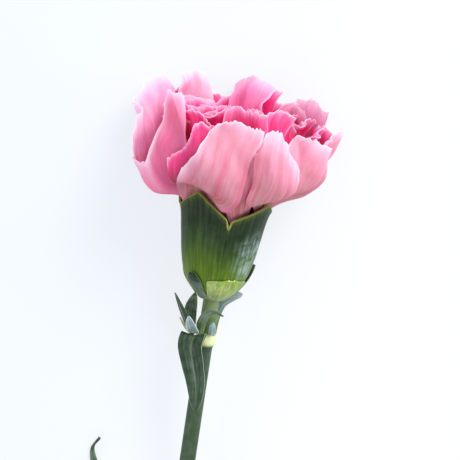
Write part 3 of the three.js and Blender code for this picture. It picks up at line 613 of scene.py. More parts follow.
def relief_tree():
    tree = bpy.data.node_groups.new("thin_tissue", "GeometryNodeTree")
    tree.interface.new_socket("Sheet", in_out="INPUT", socket_type="NodeSocketGeometry")
    for name, kind, value in RELIEF_INPUTS:
        socket = tree.interface.new_socket(name, in_out="INPUT", socket_type=kind)
        if value is not None:
            socket.default_value = value
    tree.interface.new_socket("Tissue", in_out="OUTPUT", socket_type="NodeSocketGeometry")
    given = put(tree, "NodeGroupInput").outputs
    across, along = named(tree, "across"), named(tree, "along")
    where = put(tree, "ShaderNodeCombineXYZ", {
        "X": calc(tree, "MULTIPLY", across, given["Vein Count"]),
        "Y": calc(tree, "MULTIPLY", along, 2.5),
    }).outputs[0]
    raised = calc(tree, "MULTIPLY", centred_noise(tree, where, given["Seed"]), given["Vein Height"])
    raised = calc(tree, "MULTIPLY", raised, ramp_between(tree, along, given["Vein Start"], 0.8))
    rib = calc(tree, "POWER", 2.718, calc(tree, "MULTIPLY", calc(tree, "MULTIPLY", across, across), RIB_FALL))
    rib = calc(tree, "MULTIPLY", rib, given["Midrib Height"])
    grain = calc(tree, "DIVIDE", 1.0, given["Crinkle Size"])
    place = put(tree, "GeometryNodeInputPosition").outputs[0]
    crinkle = calc(tree, "MULTIPLY", centred_noise(tree, place, given["Seed"], grain), given["Crinkle Height"])
    crinkle = calc(tree, "MULTIPLY", crinkle, ramp_between(tree, along, 0.6, 1.0))
    lift = calc(tree, "ADD", calc(tree, "ADD", raised, rib), crinkle)
    lift = calc(tree, "SUBTRACT", lift, calc(tree, "MULTIPLY", given["Thickness"], 0.5))
    normal = put(tree, "GeometryNodeInputNormal").outputs[0]
    offset = put(tree, "ShaderNodeVectorMath", {0: normal, "Scale": lift}, operation="SCALE").outputs[0]
    moved = put(tree, "GeometryNodeSetPosition", {"Geometry": given["Sheet"], "Offset": offset}).outputs[0]
    side = calc(tree, "ABSOLUTE", across)
    thin = ramp_between(tree, side, 0.5, 1.0, 1.0, given["Edge Thickness"])
    depth = calc(tree, "MULTIPLY", given["Thickness"], thin)
    outer = put(tree, "GeometryNodeExtrudeMesh", {"Mesh": moved, "Offset Scale": depth, "Individual": False})
    inner = put(tree, "GeometryNodeFlipFaces", {"Mesh": moved}).outputs[0]
    inner = put(tree, "GeometryNodeStoreNamedAttribute",
                {"Geometry": inner, "Name": "inner_face", "Value": 1.0},
                data_type="FLOAT", domain="FACE").outputs[0]
    outer = put(tree, "GeometryNodeStoreNamedAttribute",
                {"Geometry": outer.outputs["Mesh"], "Name": "inner_face", "Value": 0.0},
                data_type="FLOAT", domain="FACE").outputs[0]
    both = put(tree, "GeometryNodeJoinGeometry")
    tree.links.new(outer, both.inputs[0])
    tree.links.new(inner, both.inputs[0])
    closed = put(tree, "GeometryNodeMergeByDistance", {"Geometry": both.outputs[0], "Distance": 0.001 * MM})
    whole = put(tree, "GeometryNodeRealizeInstances", {"Geometry": closed.outputs[0]}).outputs[0]
    finished = put(tree, "GeometryNodeSetMaterial", {"Geometry": whole, "Material": given["Finish"]}).outputs[0]
    put(tree, "NodeGroupOutput", {0: finished})
    return tree


thin_tissue = relief_tree()
print("nodes in the tissue tree:", len(thin_tissue.nodes))

# %% Make a sheet object, run a tree on it and keep the plain mesh


def grid_mesh(name, points, across, along, closed_round=False, **more):
    """A mesh of quads from a grid of points in metres, with its attributes on its points.

    Its faces point to the left of along."""
    rows, columns = across.shape
    index = np.arange(rows * columns).reshape(rows, columns)
    if closed_round:
        index = np.concatenate([index, index[:, :1]], axis=1)
    corners = [index[:-1, :-1], index[:-1, 1:], index[1:, 1:], index[1:, :-1]]
    faces = np.stack([c.ravel() for c in corners], axis=1)
    mesh = bpy.data.meshes.new(name)
    mesh.from_pydata(points.reshape(-1, 3).tolist(), [], faces.tolist(), shade_flat=False)
    values = {"across": across, "along": along}
    values.update({key: value + 0 * across for key, value in more.items()})
    for key, value in values.items():
        mesh.attributes.new(key, "FLOAT", "POINT").data.foreach_set("value", value.ravel().astype(np.float32))
    return mesh


def grown(name, mesh, tree, **inputs):
    """Run a Geometry Nodes tree on a mesh and return an object with the plain result."""
    draft = bpy.data.objects.new(name + "_draft", mesh)
    scene.collection.objects.link(draft)
    modifier = draft.modifiers.new("grow", "NODES")
    modifier.node_group = tree
    for item in tree.interface.items_tree:
        key = item.name.lower().replace(" ", "_")
        if item.in_out == "INPUT" and key in inputs:
            modifier[item.identifier] = inputs[key]
    seen = draft.evaluated_get(bpy.context.evaluated_depsgraph_get())
    result = bpy.data.meshes.new_from_object(seen)
    bpy.data.objects.remove(draft)
    result.name = name
    piece = bpy.data.objects.new(name, result)
    scene.collection.objects.link(piece)
    return piece


def triangles(piece):
    piece.data.calc_loop_triangles()
    return len(piece.data.loop_triangles)


# %% [markdown]
# ## Shader groups that several finishes share
# The same veins show in petals, leaves and the calyx, and the same bluish wax lies on everything green,
# so each is a node group: built once and given other numbers in every finish.

# %% Groups for veins, mottle and wax


def shader_group(name, inputs, outputs):
    tree = bpy.data.node_groups.new(name, "ShaderNodeTree")
    for key, kind, value in inputs:
        socket = tree.interface.new_socket(key, in_out="INPUT", socket_type=kind)
        socket.default_value = value
    for key, kind in outputs:
        tree.interface.new_socket(key, in_out="OUTPUT", socket_type=kind)
    return tree, put(tree, "NodeGroupInput").outputs


def vein_group():
    """Fine streaks that fan out with the blade: their strength, and a height for a bump."""
    tree, given = shader_group(
        "tissue_veins",
        [("Across", "NodeSocketFloat", 0), ("Along", "NodeSocketFloat", 0), ("Count", "NodeSocketFloat", 10),
         ("Seed", "NodeSocketFloat", 0)],
        [("Streaks", "NodeSocketFloat"), ("Height", "NodeSocketFloat")],
    )
    x = calc(tree, "MULTIPLY", given["Across"], given["Count"])
    y = calc(tree, "MULTIPLY", given["Along"], 2.2)
    where = put(tree, "ShaderNodeCombineXYZ", {"X": x, "Y": y}).outputs[0]
    inputs = {"Vector": where, "W": given["Seed"], "Scale": 1.0, "Detail": 4.0, "Roughness": 0.62}
    noise = put(tree, "ShaderNodeTexNoise", inputs, noise_dimensions="4D").outputs[0]
    streaks = ramp_between(tree, noise, 0.34, 0.68)
    put(tree, "NodeGroupOutput", {"Streaks": streaks, "Height": noise})
    return tree


def mottle_group():
    """Soft patches in the piece's own space."""
    tree, given = shader_group(
        "soft_mottle",
        [("Size", "NodeSocketFloat", 4 * MM), ("Seed", "NodeSocketFloat", 0)],
        [("Mottle", "NodeSocketFloat"), ("Height", "NodeSocketFloat")],
    )
    where = put(tree, "ShaderNodeTexCoord").outputs["Object"]
    grain = calc(tree, "DIVIDE", 1.0, given["Size"])
    inputs = {"Vector": where, "W": given["Seed"], "Scale": grain, "Detail": 3.0}
    noise = put(tree, "ShaderNodeTexNoise", inputs, noise_dimensions="4D").outputs[0]
    put(tree, "NodeGroupOutput", {"Mottle": ramp_between(tree, noise, 0.35, 0.65), "Height": noise})
    return tree


def wax_group():
    """A thin bluish wax over a green skin: the colour with its wax, and the roughness."""
    tree, given = shader_group(
        "waxy_bloom",
        [("Skin", "NodeSocketColor", (0.1, 0.2, 0.05, 1)), ("Wax", "NodeSocketColor", srgb(150, 170, 165)),
         ("Amount", "NodeSocketFloat", 0.3), ("Size", "NodeSocketFloat", 3 * MM),
         ("Seed", "NodeSocketFloat", 0)],
        [("Colour", "NodeSocketColor"), ("Roughness", "NodeSocketFloat")],
    )
    where = put(tree, "ShaderNodeTexCoord").outputs["Object"]
    grain = calc(tree, "DIVIDE", 1.0, given["Size"])
    inputs = {"Vector": where, "W": given["Seed"], "Scale": grain, "Detail": 4.0, "Roughness": 0.6}
    noise = put(tree, "ShaderNodeTexNoise", inputs, noise_dimensions="4D").outputs[0]
    share = calc(tree, "MULTIPLY", ramp_between(tree, noise, 0.3, 0.7), given["Amount"])
    colour = mixed(tree, share, given["Skin"], given["Wax"])
    roughness = ramp_between(tree, share, 0.0, 0.6, 0.42, 0.68)
    put(tree, "NodeGroupOutput", {"Colour": colour, "Roughness": roughness})
    return tree


GROUPS = {"veins": vein_group(), "mottle": mottle_group(), "wax": wax_group()}


def use_group(tree, name, **inputs):
    new = tree.nodes.new("ShaderNodeGroup")
    new.node_tree = GROUPS[name]
    for key, value in inputs.items():
        socket = new.inputs[key.capitalize()]
        if isinstance(value, bpy.types.NodeSocket):
            tree.links.new(value, socket)
        else:
            socket.default_value = value
    return new.outputs


print("shader groups:", sorted(GROUPS))

# %% Small helpers for the finishes


def attribute(tree, name):
    return put(tree, "ShaderNodeAttribute", attribute_name=name, attribute_type="GEOMETRY").outputs["Fac"]


def colour_ramp(tree, value, stops):
    """A colour for each place on the way: stops are (place, colour)."""
    new = put(tree, "ShaderNodeValToRGB", {"Fac": value})
    elements = new.color_ramp.elements
    (elements[0].position, elements[0].color), (elements[1].position, elements[1].color) = stops[0], stops[-1]
    for place, colour in stops[1:-1]:
        elements.new(place).color = colour
    return new.outputs["Color"]


def bumped(tree, height, strength, distance):
    inputs = {"Height": height, "Strength": strength, "Distance": distance}
    return put(tree, "ShaderNodeBump", inputs).outputs["Normal"]


def blank_material(name):
    material = bpy.data.materials.new(name)
    material.use_nodes = True
    return material


# %% [markdown]
# ## The petals' finish
# A petal is almost white at its toothed margin, pink below it, and a little green at the claw. Its colour
# changes with the distance from the margin, so the sheet carries that distance in millimetres as `depth`;
# a ramp on `along` would be simpler, but it would leave the petal's sides as dark as its middle. `warmth`
# says how salmon the outside is. `hot_inside` and `hot_outside` say how far
# each side turns magenta and then dark with depth: partly the inner petals' own colour, and partly painted
# shade in the gaps and hollows between petals, so a lit petal gets little. `inner_face` tells the two sides
# apart. A petal's `paling_by_light` widens its pale margin: the margin's paleness is the petal's own, but
# how far it spreads is painted light on lit petals, and painted shade where it is below 1.

# %% Petal finish
COLOUR_DEPTH = 28.0  # millimetres from the margin over which the colours change
PALE_EDGE = srgb(255, 240, 247)
COOL_STOPS = [(0.0, PALE_EDGE), (0.05, srgb(252, 205, 230)), (0.2, srgb(247, 165, 208)),
              (0.5, srgb(238, 128, 185)), (0.8, srgb(225, 85, 150)), (1.0, srgb(215, 120, 130))]
SALMON_STOPS = [(0.0, PALE_EDGE), (0.05, srgb(254, 222, 238)), (0.16, srgb(246, 178, 206)),
                (0.34, srgb(230, 130, 164)), (0.58, srgb(214, 106, 126)), (0.8, srgb(206, 118, 106)),
                (0.94, srgb(186, 172, 96))]
# Magenta towards the heart: the inner petals' own colour, darkening into painted shade in the gaps and hollows
# between petals.
MAGENTA_AND_SHADE_STOPS = [(0.0, srgb(254, 210, 234)), (0.025, srgb(252, 156, 212)), (0.06, srgb(250, 84, 176)),
             (0.11, srgb(246, 30, 150)), (0.3, srgb(238, 8, 130)), (0.6, srgb(205, 5, 98)),
             (0.9, srgb(165, 12, 70))]


def petal_material():
    material = blank_material("petal_tissue")
    tree = material.node_tree
    tree.nodes.clear()
    along, across = attribute(tree, "along"), attribute(tree, "across")
    seed, inner = attribute(tree, "petal_seed"), attribute(tree, "inner_face")
    fine = use_group(tree, "veins", across=across, along=along, count=15.0, seed=seed)
    broad = use_group(tree, "veins", across=across, along=along, count=3.6, seed=seed)
    mottle = use_group(tree, "mottle", size=5 * MM)
    uneven_depth = calc(tree, "MULTIPLY", attribute(tree, "depth"),
                        ramp_between(tree, mottle["Mottle"], 0, 1, 0.92, 1.08))
    depth = calc(tree, "DIVIDE", uneven_depth, COLOUR_DEPTH)
    outside = mixed(tree, attribute(tree, "warmth"), colour_ramp(tree, depth, COOL_STOPS),
                    colour_ramp(tree, depth, SALMON_STOPS))
    colour = mixed(tree, inner, outside, colour_ramp(tree, depth, COOL_STOPS))
    # Each side's share of magenta and painted shade.
    magenta_and_shade_share = mixed(tree, inner, attribute(tree, "hot_outside"), attribute(tree, "hot_inside"))
    colour = mixed(tree, magenta_and_shade_share, colour, colour_ramp(tree, depth, MAGENTA_AND_SHADE_STOPS))
    streaky = ramp_between(tree, calc(tree, "MULTIPLY", magenta_and_shade_share, depth), 0.0, 0.15, 1.0, 0.2)
    for streaks, strength in ((broad["Streaks"], 0.34), (fine["Streaks"], 0.14)):
        share = calc(tree, "MULTIPLY", calc(tree, "MULTIPLY", streaks, streaky), strength)
        colour = mixed(tree, share, colour, PALE_EDGE)
    roughness = ramp_between(tree, mottle["Mottle"], 0, 1, 0.5, 0.62)
    normal = bumped(tree, fine["Height"], 0.35, 0.3 * MM)
    skin = put(tree, "ShaderNodeBsdfPrincipled", {
        "Base Color": colour, "Roughness": roughness, "Normal": normal,
        "Specular IOR Level": 0.22, "Sheen Weight": 0.05, "Sheen Roughness": 0.4,
    })
    through = put(tree, "ShaderNodeBsdfTranslucent", {"Color": colour, "Normal": normal}).outputs[0]
    blend = put(tree, "ShaderNodeMixShader", {0: PETAL_LETS_THROUGH, 1: skin.outputs[0], 2: through}).outputs[0]
    put(tree, "ShaderNodeOutputMaterial", {"Surface": blend})
    return material


PETAL_LETS_THROUGH = 0.5
petal_tissue = petal_material()
print("petal finish:", len(petal_tissue.node_tree.nodes), "nodes")

# %% Grow the petals
PETAL_ROWS, GUARD_COLUMNS, RING_COLUMNS, HEART_COLUMNS = 44, 64, 52, 36
total = 0
for name, spec in petals.items():
    ring = name.split("_")[0]
    columns = {"guard": GUARD_COLUMNS, "heart": HEART_COLUMNS, "fifth": HEART_COLUMNS}.get(ring, RING_COLUMNS)
    points, across, along, depth = petal_grid(spec, PETAL_ROWS, columns)
    mesh = grid_mesh(name + "_sheet", laid_down(points), across, along, depth=depth, petal_seed=spec["seed"],
                     warmth=spec["warmth"], hot_inside=spec["hot_inside"], hot_outside=spec["hot_outside"])
    piece = grown("fine_" + name, mesh, thin_tissue, thickness=0.24 * MM, edge_thickness=0.7,
                  vein_height=0.3 * MM, vein_count=9.0, vein_start=0.45, crinkle_height=0.5 * MM,
                  crinkle_size=2.2 * MM, seed=float(spec["seed"]), finish=petal_tissue)
    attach(piece, "root")
    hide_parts(name)
    total += triangles(piece)
print("petals:", len(petals), "triangles:", total)

# %% [markdown]
# ## Green finishes
# The calyx, bracts, leaves and stem are one kind of skin: green tissue with lengthwise veins under a thin
# bluish wax. They differ in how green, how veined and how waxy they are, so one function makes them all.
# The wax keeps to the places that the piece's `waxy` attribute gives it, and breaks up into
# streaks along the veins; on the calyx it is also a painted reflection. The little dry scale at the joint
# is the same tissue gone brown and papery.

# %% Green finish
WAX = srgb(176, 196, 205)


def green_material(name, stops, margin, wax=0.2, count=6.0, seed=1.0, let_through=0.08, margin_start=0.93,
                   midrib=0.0):
    """A green skin: colours along the piece, a pale margin and midrib, veins and wax."""
    material = blank_material(name)
    tree = material.node_tree
    tree.nodes.clear()
    along, across = attribute(tree, "along"), attribute(tree, "across")
    veins = use_group(tree, "veins", across=across, along=along, count=count, seed=seed)
    skin = colour_ramp(tree, along, stops)
    darker = mixed(tree, 1.0, skin, (0.5, 0.56, 0.5, 1), "MULTIPLY")
    skin = mixed(tree, veins["Streaks"], darker, skin)
    beside = calc(tree, "ABSOLUTE", across)
    rib = calc(tree, "MULTIPLY", ramp_between(tree, beside, 0.0, 0.3, 1.0, 0.0), veins["Streaks"])
    skin = mixed(tree, calc(tree, "MULTIPLY", rib, midrib), skin, margin)
    along_veins = ramp_between(tree, veins["Streaks"], 0, 1, 0.35, 1.0)
    # Where the wax lies; on the calyx this mask also paints a bluish reflection on one side.
    streaked = calc(tree, "MULTIPLY", attribute(tree, "waxy"), along_veins)
    amount = calc(tree, "MULTIPLY", streaked, wax)
    waxed = use_group(tree, "wax", skin=skin, wax=WAX, amount=amount, size=2.5 * MM, seed=seed)
    edge = ramp_between(tree, attribute(tree, "margin"), margin_start, 1.0)
    colour = mixed(tree, edge, waxed["Colour"], margin)
    normal = bumped(tree, veins["Height"], 0.5, 0.25 * MM)
    body = put(tree, "ShaderNodeBsdfPrincipled", {
        "Base Color": colour, "Roughness": waxed["Roughness"], "Normal": normal, "Specular IOR Level": 0.1,
    })
    through = put(tree, "ShaderNodeBsdfTranslucent", {"Color": colour, "Normal": normal}).outputs[0]
    blend = put(tree, "ShaderNodeMixShader", {0: let_through, 1: body.outputs[0], 2: through}).outputs[0]
    put(tree, "ShaderNodeOutputMaterial", {"Surface": blend})
    return material


calyx_skin = green_material(
    "calyx_skin",
    [(0.0, srgb(150, 165, 85)), (0.16, srgb(106, 134, 34)), (0.36, srgb(84, 110, 22)), (0.58, srgb(52, 74, 22)),
     (0.78, srgb(34, 50, 24)), (0.93, srgb(36, 52, 24)), (1.0, srgb(70, 84, 32))],
    srgb(136, 140, 66), wax=0.6, count=38.0, seed=3.0, let_through=0.04, margin_start=0.95)
bract_skin = green_material(
    "bract_skin", [(0.0, srgb(165, 178, 120)), (0.4, srgb(170, 186, 100)), (1.0, srgb(150, 172, 72))],
    srgb(196, 204, 124), wax=0.2, count=8.0, seed=5.0, let_through=0.12)
dark_bract_skin = green_material(
    "dark_bract_skin", [(0.0, srgb(138, 152, 112)), (0.4, srgb(92, 112, 78)), (0.72, srgb(40, 58, 34)),
                        (1.0, srgb(30, 44, 28))],
    srgb(84, 104, 60), wax=0.25, count=8.0, seed=6.0)
leaf_skin = green_material(
    "leaf_skin", [(0.0, srgb(130, 148, 72)), (0.18, srgb(84, 106, 42)), (0.4, srgb(66, 86, 38)),
                  (1.0, srgb(58, 78, 44))],
    srgb(150, 166, 112), wax=0.3, count=5.0, seed=7.0, midrib=0.2)
strap_skin = green_material(
    "strap_skin", [(0.0, srgb(112, 134, 66)), (0.14, srgb(50, 70, 38)), (0.45, srgb(44, 62, 38)),
                   (1.0, srgb(58, 80, 56))],
    srgb(140, 158, 128), wax=0.1, count=5.0, seed=10.0, margin_start=0.96, midrib=0.5)
glaucous_skin = green_material(
    "glaucous_skin", [(0.0, srgb(132, 150, 110)), (0.3, srgb(128, 150, 146)), (1.0, srgb(160, 178, 186))],
    srgb(196, 206, 206), wax=0.75, count=5.0, seed=8.0)
back_leaf_skin = green_material(
    "back_leaf_skin", [(0.0, srgb(150, 172, 60)), (0.3, srgb(146, 172, 76)), (0.5, srgb(132, 156, 150)),
                       (1.0, srgb(196, 208, 214))],
    srgb(206, 216, 190), wax=0.5, count=5.0, seed=12.0, let_through=0.2)
dry_skin = green_material(
    "dry_skin", [(0.0, srgb(150, 150, 98)), (0.35, srgb(196, 180, 146)), (1.0, srgb(214, 196, 176))],
    srgb(226, 214, 198), wax=0.1, count=4.0, seed=11.0, let_through=0.3)
print("green finishes:", [m.name for m in bpy.data.materials if m.name.endswith("skin")])

# %% [markdown]
# ## The calyx
# The calyx is a tapering cup with five teeth, ribbed lengthwise, with a thin pale margin and a short
# split at the bottom of its front notch. It could be lathed and its teeth cut out, but a cut leaves a
# hard edge. It is a surface of revolution whose rim follows the teeth, so it is one grid closed round,
# and the tissue tree ribs it. The `waxy` attribute keeps the bluish wax to the right side of
# the cup: the calyx is waxy, but this bright bluish streaky patch on one side is a painted reflection.

# %% The calyx
CALYX_PROFILE = [(3.5, 0), (6.6, 2.9), (9.2, 7.2), (10.6, 12.4), (11.5, 18.2), (12.4, 24.2), (14.1, 33)]
CALYX_WALL = 0.6
SLIT_DEPTH, SLIT_WIDTH = 2.4, 2.2  # of the split at the bottom of the front notch, in mm and degrees
CALYX_ROWS, CALYX_COLUMNS = 60, 240
heights_along = curve(CALYX_PROFILE, np.linspace(0, 1, 400))


def calyx_radius(z):
    return np.interp(z, heights_along[:, 1], heights_along[:, 0])


def calyx_grid():
    azimuth = np.linspace(0, 360, CALYX_COLUMNS, endpoint=False)[None, :] - 180
    share = (np.linspace(0, 1, CALYX_ROWS + 1) ** 0.9)[:, None]
    rim = rim_height(azimuth, blend=lambda s: s)
    from_slit = azimuth - TEETH[0][0]
    rim = rim - SLIT_DEPTH * np.exp(-((from_slit / SLIT_WIDTH) ** 2))
    z = share * rim
    to_rim = (1 - share) * rim
    flare = 0.5 * np.exp(-to_rim / 1.2)
    radius = calyx_radius(z) - CALYX_WALL / 2 + flare
    margin = 1 - np.clip(to_rim / 6, 0, 1)
    return polar(azimuth, radius, z), azimuth / 180 + 0 * share, share + 0 * azimuth, margin


points, across, along, margin = calyx_grid()
# Bluish wax on the right of the cup: real wax, and over it a painted reflection of a soft light.
waxy = 0.05 + 0.95 * smooth(0.08, 0.3, across) * (1 - smooth(0.62, 0.8, along)) * smooth(0.1, 0.3, along)
mesh = grid_mesh("calyx_sheet", laid_down(points), across, along, closed_round=True, margin=margin, waxy=waxy)
piece = grown("fine_calyx", mesh, thin_tissue, thickness=CALYX_WALL * MM, edge_thickness=1.0,
              vein_height=0.35 * MM, vein_count=30.0, vein_start=0.0, seed=2.0, finish=calyx_skin)
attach(piece, "root")
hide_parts("calyx")
print("calyx:", triangles(piece), "triangles")

# %% [markdown]
# ## The scales round the foot of the calyx
# Four short scales hug the calyx. They could be copies of one leaf, but they follow the cup so closely
# that each is drawn straight on it, a little further out. A scale's sides droop by their distance from
# its middle line. Were the droop the same share of every row, the narrow tip would fold back over the row
# below.

# %% Bracts
BRACT_FOOT = 0.2
BRACT_ROWS, BRACT_COLUMNS = 26, 24
BRACT_TIP = 0.03  # the share of its width that the tip keeps, squared
BRACT_FLARE = 0.02  # how much a scale leans away from the calyx, per mm of height
BRACTS = {
    "bract_front_left": dict(azimuth=-38, half=2.6, most=26, top=8.6, lift=0.5, tip_lift=0.3, square=0.7,
                             droop=0.1, skin=dark_bract_skin),
    "bract_front_right": dict(azimuth=31, half=7.2, most=43, top=7.6, lift=0.45, square=0.86, droop=0.05,
                              skin=bract_skin),
    "bract_right": dict(azimuth=103, half=3.4, most=25, top=10.8, lift=0.5, tip_lift=0.3,
                        skin=dark_bract_skin),
    "bract_back": dict(azimuth=218, half=8, most=52, top=10.6, lift=0.45, tip_lift=0.2, skin=bract_skin),
}


def bract_grid(azimuth, half, most, top, lift, tip_lift=0.0, square=0.55, droop=0.22):
    """A scale that hugs the foot of the calyx."""
    u = np.linspace(-1, 1, BRACT_COLUMNS + 1)[None, :]
    share = np.linspace(0, 1, BRACT_ROWS + 1)[:, None]
    rounded = np.maximum(0, (share - square) / (1 - square))
    narrowing = np.sqrt(1 - (1 - BRACT_TIP) * rounded**2)
    drop = droop * (u * narrowing) ** 2 * share
    height = BRACT_FOOT + (top - BRACT_FOOT) * share * (1 - drop)
    radius = calyx_radius(height) + height * BRACT_FLARE + lift + tip_lift * share**3
    spread = np.minimum(np.degrees(half / radius), most) * narrowing
    return polar(azimuth + u * spread, radius, height), u + 0 * share, share + 0 * u


for name, spec in BRACTS.items():
    skin = spec.pop("skin")
    points, across, along = bract_grid(**spec)
    edge = np.maximum(np.abs(across) ** 3, along**6)
    mesh = grid_mesh(name + "_sheet", laid_down(points), across, along, margin=edge, waxy=1.0)
    piece = grown("fine_" + name, mesh, thin_tissue, thickness=0.4 * MM, edge_thickness=0.4,
                  vein_height=0.2 * MM, vein_count=6.0, seed=spec["top"], finish=skin)
    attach(piece, "root")
    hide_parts(name)
print("bracts:", len(BRACTS))

# %% [markdown]
# ## Leaves
# Carnation leaves are narrow gutters that start wrapped round the joint of the stem. Each follows a
# middle line; across it the blade is an arc that opens from a clasp into a shallow gutter and narrows to
# the tip. `point` says how sharp the tip is. A flat strip could be bent with curve modifiers, but the
# gutter changes on the way.

# %% One leaf's grid
LEAF_JOINT_RADIUS = 3.1
SEAT_GAP, HALF_LEAF, FOOT_CLEARANCE = 0.3, 0.3, 0.15
HOLD = LEAF_JOINT_RADIUS + SEAT_GAP + HALF_LEAF + FOOT_CLEARANCE  # from the stem's axis to a leaf's foot
WIDEST = 0.25  # the share of the length where the blade is widest
LEAF_TIP = 0.05  # of the full width


def at_height(x, z, height):
    """A point of the flower's frame at this height above the table."""
    return (x, (CALYX_HEIGHT + z * math.sin(AXIS_SLOPE) - height) / math.cos(AXIS_SLOPE), z)


def unit(vectors):
    return vectors / np.linalg.norm(vectors, axis=-1, keepdims=True)


def leaf_grid(path, side, width, foot=5.0, wrap=80, gutter=42, point=0.5, rows=60, columns=22):
    v = np.linspace(0, 1, rows + 1)
    centre = curve(path, v, open_ends=True)
    along = unit(curve(path, np.minimum(v + 1e-4, 1), True) - curve(path, np.maximum(v - 1e-4, 0), True))
    side = np.asarray(side, float)
    place = v * (len(side) - 1)
    first = np.minimum(place.astype(int), len(side) - 2)
    across = lerp(side[first], side[first + 1], (place - first)[:, None])
    across = unit(across - along * np.sum(across * along, axis=1, keepdims=True))
    up = unit(np.cross(across, along))
    opened = smooth(0, WIDEST, v)
    narrowing = np.maximum(0, (v - WIDEST) / (1 - WIDEST))
    taper = np.maximum(LEAF_TIP, (1 - narrowing**2) ** point)
    full = lerp(foot, width * taper, opened)
    bend = np.radians(lerp(wrap, gutter, opened))
    radius = (full / bend)[:, None, None]
    u = np.linspace(-1, 1, columns + 1)
    angle = (u[None, :] * bend[:, None] / 2)[..., None]
    points = centre[:, None] + radius * (np.sin(angle) * across[:, None] + (1 - np.cos(angle)) * up[:, None])
    return points, u[None, :] + 0 * v[:, None], v[:, None] + 0 * u[None, :]


LEAVES = {
    "upper_leaf_front": dict(
        path=[(-2.2, -HOLD + 0.4, -15.4), (-2.9, -HOLD - 0.3, -12.2), (-3.6, -HOLD - 2.1, -10.6),
              (-4.1, -HOLD - 3.3, -13.2), (-2.7, -HOLD - 3.1, -18.2), (-1.2, -HOLD - 2.7, -23.2),
              (-0.3, -HOLD - 2.3, -28.2), (0.1, -HOLD - 2, -33)],
        side=[(-1, 0, 0), (-0.97, 0.1, -0.2), (-0.99, 0.1, -0.1)],
        width=7.2, foot=3.4, wrap=60, skin=strap_skin),
    "upper_leaf_back": dict(
        path=[(0.2, HOLD, -15.2), (0.5, HOLD + 0.3, -11.5), (1, HOLD + 1, -7), (2.6, HOLD + 1.7, -2.6),
              (5.6, HOLD + 1.9, -0.4), (8.8, HOLD + 1.2, 0.8)],
        side=[(1, 0, 0), (0.9, -0.1, -0.3), (0.3, -0.2, -0.9)], width=4.8, gutter=40, skin=back_leaf_skin),
    "lower_leaf_left": dict(
        path=[(-HOLD, 0, -90), (-HOLD - 0.5, 0.4, -86.4), at_height(-10.5, -81, 6.6),
              at_height(-18.5, -73.5, 2.2), at_height(-25.8, -64.6, 0.5),
              at_height(-29.2, -56.4, 1.4), at_height(-27.4, -51.4, 3.8)],
        side=[(0, 1, 0), (0.15, 0.8, 0.3), (0.6, 0.05, 0.7), (0.8, 0, 0.4), (0.9, 0, -0.4)],
        width=5.4, foot=5.4, wrap=90, gutter=50, point=1.5, skin=leaf_skin),
    "lower_leaf_right": dict(
        path=[(HOLD, 0, -90), (HOLD + 0.5, 0.4, -86.4), at_height(12.5, -82, 8), at_height(24, -85, 3.6),
              at_height(35.5, -94, 0.8), at_height(42.5, -105, 0.6), at_height(43, -115, 3.4)],
        side=[(0, -1, 0), (-0.1, -0.8, -0.4), (-0.5, 0, -0.8), (-0.8, 0, -0.5), (-1, 0, 0)],
        width=5.8, foot=5.4, wrap=90, gutter=50, point=1.3, skin=leaf_skin),
}
SHOOT = dict(foot=1.7, wrap=80, gutter=70, point=0.8, rows=34, columns=16, skin=leaf_skin)
LEAVES.update({
    "side_leaf_1": dict(
        SHOOT, path=[(-4, -3.9, -10.8), (-5.8, -5.4, -7.4), (-8, -6.4, -3.2), (-10.4, -6.8, 1.4)],
        side=[(-0.4, 0.7, -0.5), (-0.6, 0.5, -0.6)], width=2.8, skin=strap_skin),
    "side_leaf_2": dict(
        SHOOT, path=[(-3.9, -1.9, -10.8), (-4.9, -2.2, -7.4), (-5.3, -3.4, -3.4), (-5, -5.4, -0.1),
        (-4.6, -7.7, 2.8)],
        side=[(0.7, -0.7, 0.1), (0.95, -0.3, 0.1), (0.95, -0.3, 0.2)], width=4.2),
    "side_leaf_3": dict(
        SHOOT, path=[(-2.9, -5.6, -9.8), (-3.9, -7.2, -8), (-4.9, -8.3, -6), (-5.6, -9.2, -4.2)],
        side=[(0.8, -0.3, 0.2), (0.95, -0.2, 0.3)],
        width=3.8, gutter=125, skin=glaucous_skin),
    "side_leaf_4": dict(
        SHOOT, path=[(-1.6, -5.3, -9.8), (-1.7, -7, -6.4), (-0.4, -8.2, -3), (1.8, -8.5, -2.2),
        (4.2, -8.2, -3)],
        side=[(-0.8, -0.2, 0.2), (-0.6, -0.4, 0.5), (-0.2, -0.6, 0.75)], width=2.8),
    "side_leaf_5": dict(
        SHOOT, path=[(1.5, -4, -10.3), (1.5, -4.6, -8.8), (1.6, -5.2, -7.3), (1.7, -5.8, -5.8)],
        side=[(-0.9, 0.2, 0.1), (-0.9, 0.2, 0.1)], width=2.2, skin=glaucous_skin),
    "dry_scale": dict(
        SHOOT, path=[(-3.8, -0.4, -12.4), (-5.2, -0.6, -11), (-6.8, -0.9, -9.2), (-8.2, -1.2, -7)],
        side=[(-0.4, 0.8, -0.4), (-0.5, 0.7, -0.5)], width=1.6, skin=dry_skin),
})
for number, (name, spec) in enumerate(LEAVES.items()):
    skin = spec.pop("skin")
    points, across, along = leaf_grid(**spec)
    mesh = grid_mesh(name + "_sheet", laid_down(points), across, along, margin=across**2, waxy=1.0)
    small = name.startswith("side") or name == "dry_scale"
    piece = grown("fine_" + name, mesh, thin_tissue, thickness=(0.36 if small else 0.5) * MM,
                  edge_thickness=0.35, vein_height=0.16 * MM, vein_count=5.0, midrib_height=-0.18 * MM,
                  seed=float(number), finish=skin)
    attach(piece, "root")
    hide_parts(name)
print("leaves:", len(LEAVES))

# %% [markdown]
# ## The stem
# The stem is a long round sweep that swells at its two joints and ends in a slanting cut. A second tree
# sweeps a circle along the stem's line, with the girth kept on the line itself as an attribute, and
# closes its ends.

